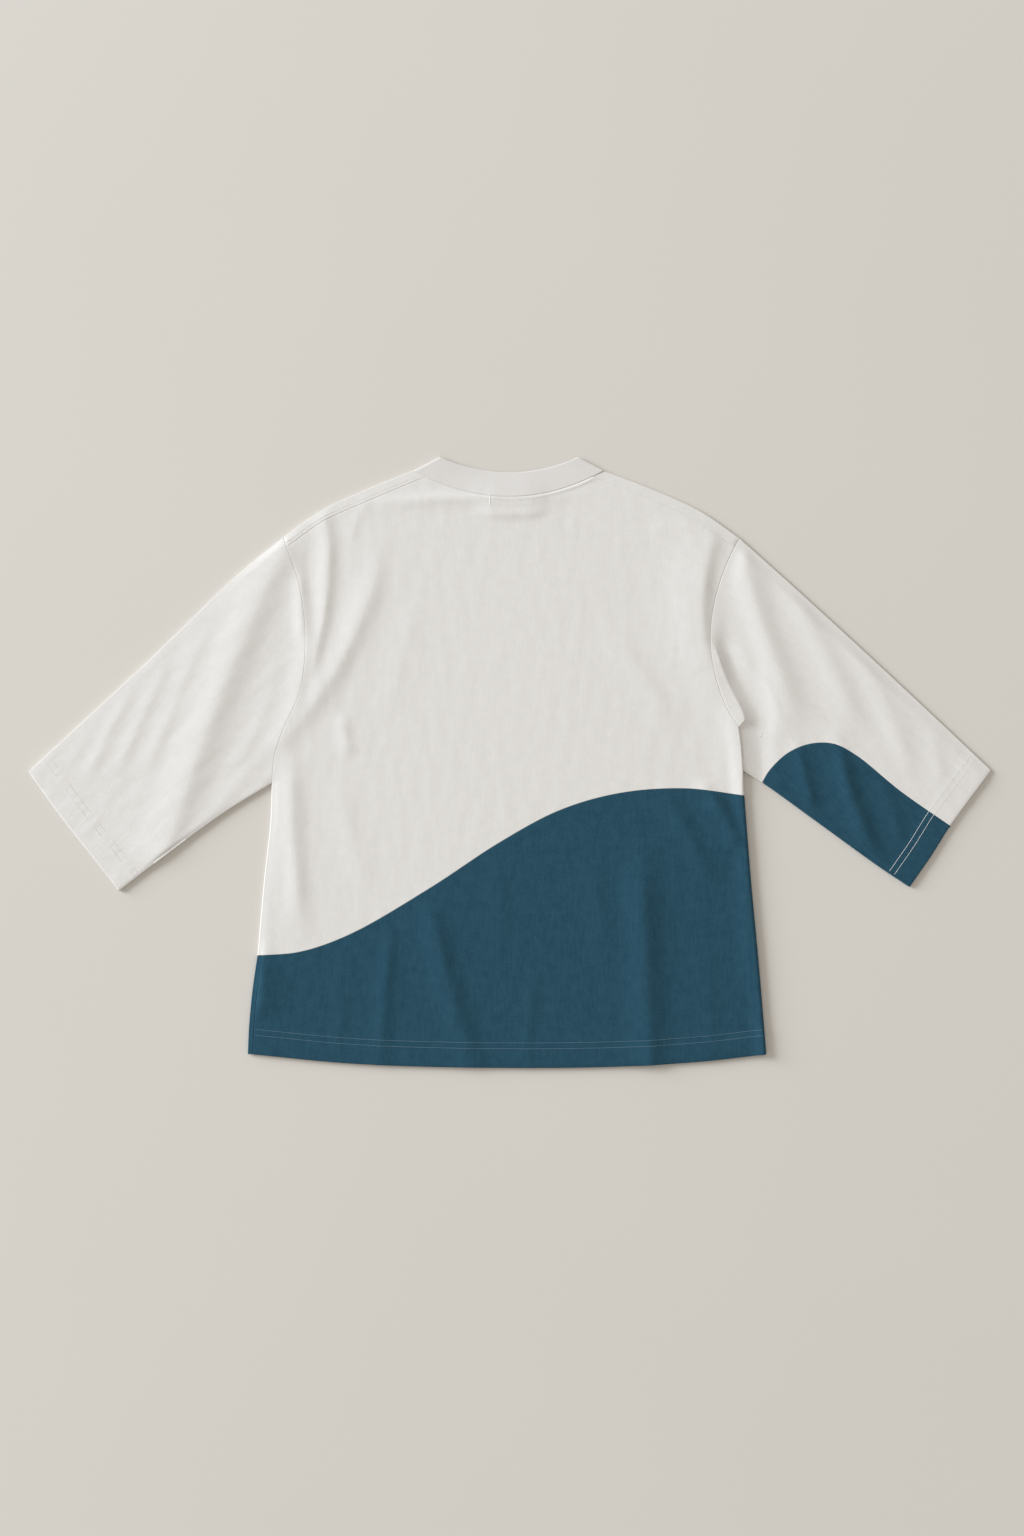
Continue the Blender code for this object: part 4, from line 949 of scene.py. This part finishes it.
sections = []
for number, row in enumerate(plan):
    if number < len(PLEAT):
        tops, mark = pleat_top(row, PLEAT[number].past), reach(row)[ear]
    else:
        tops, mark = blue_side_top if number > blue_row - 3 else sleeve_top, reach(row)[-1] * ear_share
    sections.append(tube_row(row, tops, right_lift, number <= blue_row, mark, SOFT_ROLL))
sections = np.array(sections)
gone = np.zeros((len(sections) - 1, sections.shape[1] - 1), bool)
gone[blue_row:, -len(HALF_TURN) - 1:] = True
points = with_hem(sections, CUFF_HEM, 1)
gone = np.concatenate([gone, np.repeat(gone[-1:], len(points) - len(sections), axis=0)])
sleeve_right = cloth("right_sleeve", points, white, RIGHT_TURN, cell=(60, 40), gone=gone)
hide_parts("sleeve_right")

# The blue inset of the right sleeve: jersey, sewn to the white along its own wave. Its upper half ends
# at the underarm seam, and its lower half turns up round the sleeve's edge to meet it.
INSET_COLUMNS = 30  # steps of the mesh across the blue
INSET_START = 3.5   # from the start of the wave to the inset's first row
CUFF_EASE = 12      # rows over which the grid comes round to the line of the cuff
near = at(wave, INSET_START + (wave_length - INSET_START) * wave_shares(1.15))
split = reach(under_line)[np.argmin(np.linalg.norm(under_line - wave[0], axis=1))]
far_side = at(under_line, abreast(near, split + 2.0, reach(under_line)[-1], 0.5))
share = shares(INSET_COLUMNS, last=False)
plan = near[:, None] + (far_side - near)[:, None] * share[:, None]
rows_left = len(plan) - 1 - np.arange(len(plan))
blend = np.clip(1 - rows_left / CUFF_EASE, 0, 1)[:, None, None]
plan = plan + (matched(blue_cuff, share) - plan[-1]) * blend
across = unit(plan[:, -1] - plan[:, -2])
width = np.linalg.norm(plan[:, -1] - plan[:, 0], axis=1)


def drawn_in(share):
    """The inset's plan with each row drawn in to a share of its width."""
    return plan[:, :1] + (plan - plan[:, :1]) * share[:, None, None]


sewn_edge = plan[:, -1] - across * UNDERARM_SEAM
top_plan = drawn_in(np.linalg.norm(sewn_edge - plan[:, 0], axis=1) / width)
points = with_hem(raised(top_plan, blue_side_top(top_plan)), CUFF_HEM, -1)
inset_back = cloth("blue_inset_upper", points, blue, RIGHT_TURN, cell=(40, 14))
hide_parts("sleeve_right_wave_back")

under_plan = drawn_in(1 - SOFT_ROLL / width)
flat = raised(under_plan, edge_drop(under_plan, wave, UNDER_ROLL))
tail = plan[:, -1] - across * (UNDERARM_SEAM - 2 * GAP)
tail_top = sleeve_top(tail)
over = fold_over(plan[:, -1], -across, tail_top, SOFT_ROLL)[::-1].transpose(1, 0, 2)
grid = np.concatenate([flat[:, :-1], over, raised(tail, tail_top)[:, None]], axis=1)
points = with_hem(grid, CUFF_HEM, 1)
inset_front = cloth("blue_inset_lower", points, blue, RIGHT_TURN, up=False, cell=(40, 14))
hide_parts("sleeve_right_wave_front")

# The collar: a band of fine cotton rib, doubled, with its fold at the free edge. It lies flattened, its
# back half on top and its front half under the back panel, and its ends are joined at the front left.
COLLAR_END_LEFT, COLLAR_END_RIGHT = Spot(-84, 366.5), Spot(82, 366.5)
COLLAR_BACK_LOW, COLLAR_FRONT_LOW = 348.0, 287.0
RIB_TOP = 3.5       # top of the rib at its two folded ends
RIB_SAG = 2.9       # top of the rib's free edge, midway
RIB_PLY = 0.95      # half the thickness of the doubled rib
RIB_ROLL = 0.8      # radius of the rib's edge into its seam
RIB_END_ROLL = 0.8  # how far in from a folded end the rib has turned flat
RIB_COLUMNS = 120   # steps of the mesh along each half of the band
RIB_WIDTHS = np.concatenate([[0.0, 0.02, 0.05, 0.1], np.linspace(0.18, 0.92, 10), [0.965]])
share = np.linspace(-1, 1, RIB_COLUMNS + 1)
seam = neck_back(np.linspace(NECK_LEFT.x, NECK_RIGHT.x, RIB_COLUMNS + 1))
middle, half = span(COLLAR_END_LEFT, COLLAR_END_RIGHT)
rise = COLLAR_END_LEFT.y - COLLAR_BACK_LOW
free = np.stack([middle + half * share, COLLAR_BACK_LOW + rise * share ** 2], axis=-1)
seam_z = RIB_TOP + (body_top(seam) - RIB_TOP) * smooth((1 - np.abs(share)) / 0.25)
free_z = RIB_TOP + (RIB_SAG - RIB_TOP) * smooth((1 - np.abs(share)) / 0.45)
front_share = np.linspace(0, 1, RIB_COLUMNS + 1)[::-1]
front_seam = bowl(NECK_LEFT, NECK_RIGHT, NECK_FRONT_LOW, front_share)
front_free = bowl(COLLAR_END_LEFT, COLLAR_END_RIGHT, COLLAR_FRONT_LOW, front_share)
# a section of the band: its seam and its free edge, their heights, and which way its outer side faces
Rib = namedtuple("Rib", "seam free seam_z free_z out up")


def rib_end(seam_end, free_end, beside_it):
    """The sections of the band round one of its folded ends, from the back's to the front's."""
    along = unit(free_end - seam_end)
    inward = np.array([along[1], -along[0]])
    inward *= np.sign((beside_it - seam_end) @ inward)
    turns = []
    for angle in HALF_TURN:
        slide = along * (0.15 + 0.25 * (1 + math.sin(angle)))
        plan_off = inward * RIB_END_ROLL * (1 - math.cos(angle))
        z = RIB_TOP / 2 * (1 + math.sin(angle))
        turns.append(Rib(seam_end + slide + plan_off, free_end + plan_off, z, z, -inward * math.cos(angle),
                         math.sin(angle)))
    return turns


ring = [Rib(seam[n], free[n], seam_z[n], free_z[n], (0.0, 0.0), 1.0) for n in range(2, RIB_COLUMNS - 1)]
ring += rib_end(seam[-1], free[-1], seam[-4])
ring += [Rib(front_seam[n], front_free[n], 0.0, 0.0, (0.0, 0.0), -1.0) for n in range(3, RIB_COLUMNS - 2)]
ring += rib_end(seam[0], free[0], seam[3])[::-1]
ring.append(ring[0])
ring_rows = []
for section in ring:
    length = np.linalg.norm(section.free - section.seam)
    ahead = np.array([*unit(section.free - section.seam), 0.0])
    thick = -unit(np.array([*section.out, section.up]))
    base = np.array([*section.seam, section.seam_z])
    rise = np.array([*section.free, section.free_z]) - base
    outer = [base + rise * w + thick * turned(np.array(w * length + GAP), RIB_ROLL) for w in RIB_WIDTHS]
    centre = base + rise * (1 - RIB_PLY / length) + thick * RIB_PLY
    edge = [centre - thick * RIB_PLY * math.cos(angle) + ahead * RIB_PLY * math.sin(angle)
            for angle in np.radians((15, 45, 75, 90, 105, 135, 165))]
    inside = [base + rise * w + thick * 2 * RIB_PLY for w in RIB_WIDTHS[::-1]]
    ring_rows.append(outer + edge + inside)
points = np.array(ring_rows)
around = reach((points[:, 0, :2] + points[:, 12, :2]) / 2)
cut = np.stack(np.meshgrid(around, reach(points[40]), indexing="ij"), axis=-1)
rib = jersey("white_cotton_rib", (0.705, 0.678, 0.645, 1.0), (0.599, 0.572, 0.543, 1.0), 0.9, 0.1, 1.9, 0.9)
collar = cloth("rib_collar", points, rib, cell=(40, 8), wall=0.8, cut=cut)
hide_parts("collar")

# The stitching: cotton-wrapped thread, in two rows round the hem, each cuff and beside each shoulder
# seam, one row beside the collar seam, and a tack and two short rows below the collar.
THREAD = 0.27       # half the width of a stitch
STITCH = 3.0        # from one stitch to the next
OVERLAP = (-0.1, 1.1)   # where a stitch starts and ends, as shares of that distance
PROUD = 0.06        # how far a stitch's middle stands over the cloth
BENEATH = 0.02      # height of the stitches under the lower layer
bpy.ops.mesh.primitive_uv_sphere_add(segments=6, ring_count=6, radius=1.0)
seed_stitch = bpy.context.object
stitch_points = np.array([v.co for v in seed_stitch.data.vertices])
stitch_faces = [list(face.vertices) for face in seed_stitch.data.polygons]
bpy.data.objects.remove(seed_stitch)


def thread(name, colour):
    """Cotton thread: slightly glossier than the cloth, with a fine grain."""
    made = new_material(name)
    place = added(made, "ShaderNodeTexCoord", "Object", {})
    grain = added(made, "ShaderNodeTexNoise", "Fac", {"Vector": place, "Scale": 900.0})
    dark = tuple(0.82 * part for part in colour[:3]) + (1.0,)
    wired(made.node_tree.nodes["Principled BSDF"], {
        "Base Color": between(made, dark, colour, grain), "Roughness": 0.7, "Sheen Weight": 0.2,
        "Normal": bumped(made, grain, 0.3, 0.0001)})
    return made


def sewn(name, rows, finish, finish_slot, pitch=STITCH, width=THREAD):
    """Stitches along some runs of points that lie on the cloth, joined as one piece."""
    verts, faces = [], []
    for run in rows:
        count = round(reach(run)[-1] / pitch)
        fitted = reach(run)[-1] / count
        marks = at(run, np.arange(count)[:, None] * fitted + np.array(OVERLAP) * fitted)
        for start, end in marks:
            along = unit(end - start)
            across = unit(np.cross((0.0, 0.0, 1.0), along))
            size = np.linalg.norm(end - start) / 2
            local = stitch_points[:, 2:] * size * along + stitch_points[:, :1] * width * across
            local = local + stitch_points[:, 1:2] * width * 0.5 * np.cross(along, across)
            faces += [[corner + len(verts) * len(stitch_points) for corner in face] for face in stitch_faces]
            verts.append((start + end) / 2 + local)
    mesh = bpy.data.meshes.new(name)
    mesh.from_pydata((np.concatenate(verts) * MM).tolist(), [], faces)
    mesh.materials.append(finish)
    piece = bpy.data.objects.new(name, mesh)
    bpy.context.scene.collection.objects.link(piece)
    mesh.shade_smooth()
    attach(piece, "root")
    return piece


def rows_in(run, towards, distances):
    """Runs at some distances in from an edge or a seam."""
    return [run + square_to(run, towards) * distance for distance in distances]


def on_top(rows, tops):
    """Runs laid on the cloth, given the function for its heights."""
    return [raised(row, tops(row) + PROUD) for row in rows]


def beneath(rows):
    """Runs laid against the underside of the lower layer."""
    return [raised(row, BENEATH) for row in rows]


def fine(spots, first=0.0, last=-0.1):
    """Close points along a run, which may start and stop a little way short of its ends."""
    run = as_run(spots)
    return at(run, np.arange(first, reach(run)[-1] - last, 1.5))


in_white = thread("white_thread", (0.84, 0.82, 0.79, 1.0)), "white_jersey"
in_blue = thread("blue_thread", (0.095, 0.185, 0.24, 1.0)), "blue_jersey"
HEM_ROWS = (23.2, 30.2)         # in from the hem's edge
CUFF_ROWS = (23.8, 31.0)        # in from the edge of a cuff
SHOULDER_ROWS = (5.2, 1.4)      # in from a shoulder seam
NECK_ROWS = (3.4,)              # in from the collar seam
sewn("hem_stitching_back", on_top(rows_in(fine(HEM_EDGE, 6.5, 1.5), (0, 0), HEM_ROWS), body_top), *in_blue)
sewn("hem_stitching_front", beneath(rows_in(fine(HEM_EDGE, 3.0, 1.5), (0, 0), HEM_ROWS)), *in_blue)
cuff_rows = rows_in(fine(CUFF_LEFT, 1.0, 1.0), (-250, 120), CUFF_ROWS)
sewn("left_cuff_stitching", on_top(cuff_rows, body_top) + beneath(cuff_rows), *in_white)
cuff_rows = rows_in(fine(CUFF_RIGHT, 1.4, 0.6), (250, 120), CUFF_ROWS)
sewn("right_cuff_stitching", on_top(cuff_rows, right_top) + beneath(cuff_rows), *in_white)
shoulder_rows = rows_in(fine(SEAM_LEFT, 2.0, 12.0), (-150, 400), SHOULDER_ROWS)
shoulder_rows += rows_in(fine(SEAM_RIGHT, 2.0, 12.0), (150, 400), SHOULDER_ROWS)
sewn("shoulder_stitching", on_top(shoulder_rows, body_top), *in_white)
sewn("neck_stitching", on_top(rows_in(fine(collar_seam, 3.0, 3.0), (0, 0), NECK_ROWS), body_top), *in_white)
tack = fine(np.array([(-24.0, 322.0), (-24.0, 308.5)]))
short_rows = [fine(np.array([(26.0, 322.0), (26.0, 308.5)])), fine(np.array([(-24.0, 308.0), (26.0, 308.0)]))]
sewn("back_neck_tack", on_top([tack], body_top), *in_white, pitch=3.3, width=0.6)
sewn("back_neck_rows", on_top(short_rows, body_top), *in_white, pitch=2.2, width=0.2)
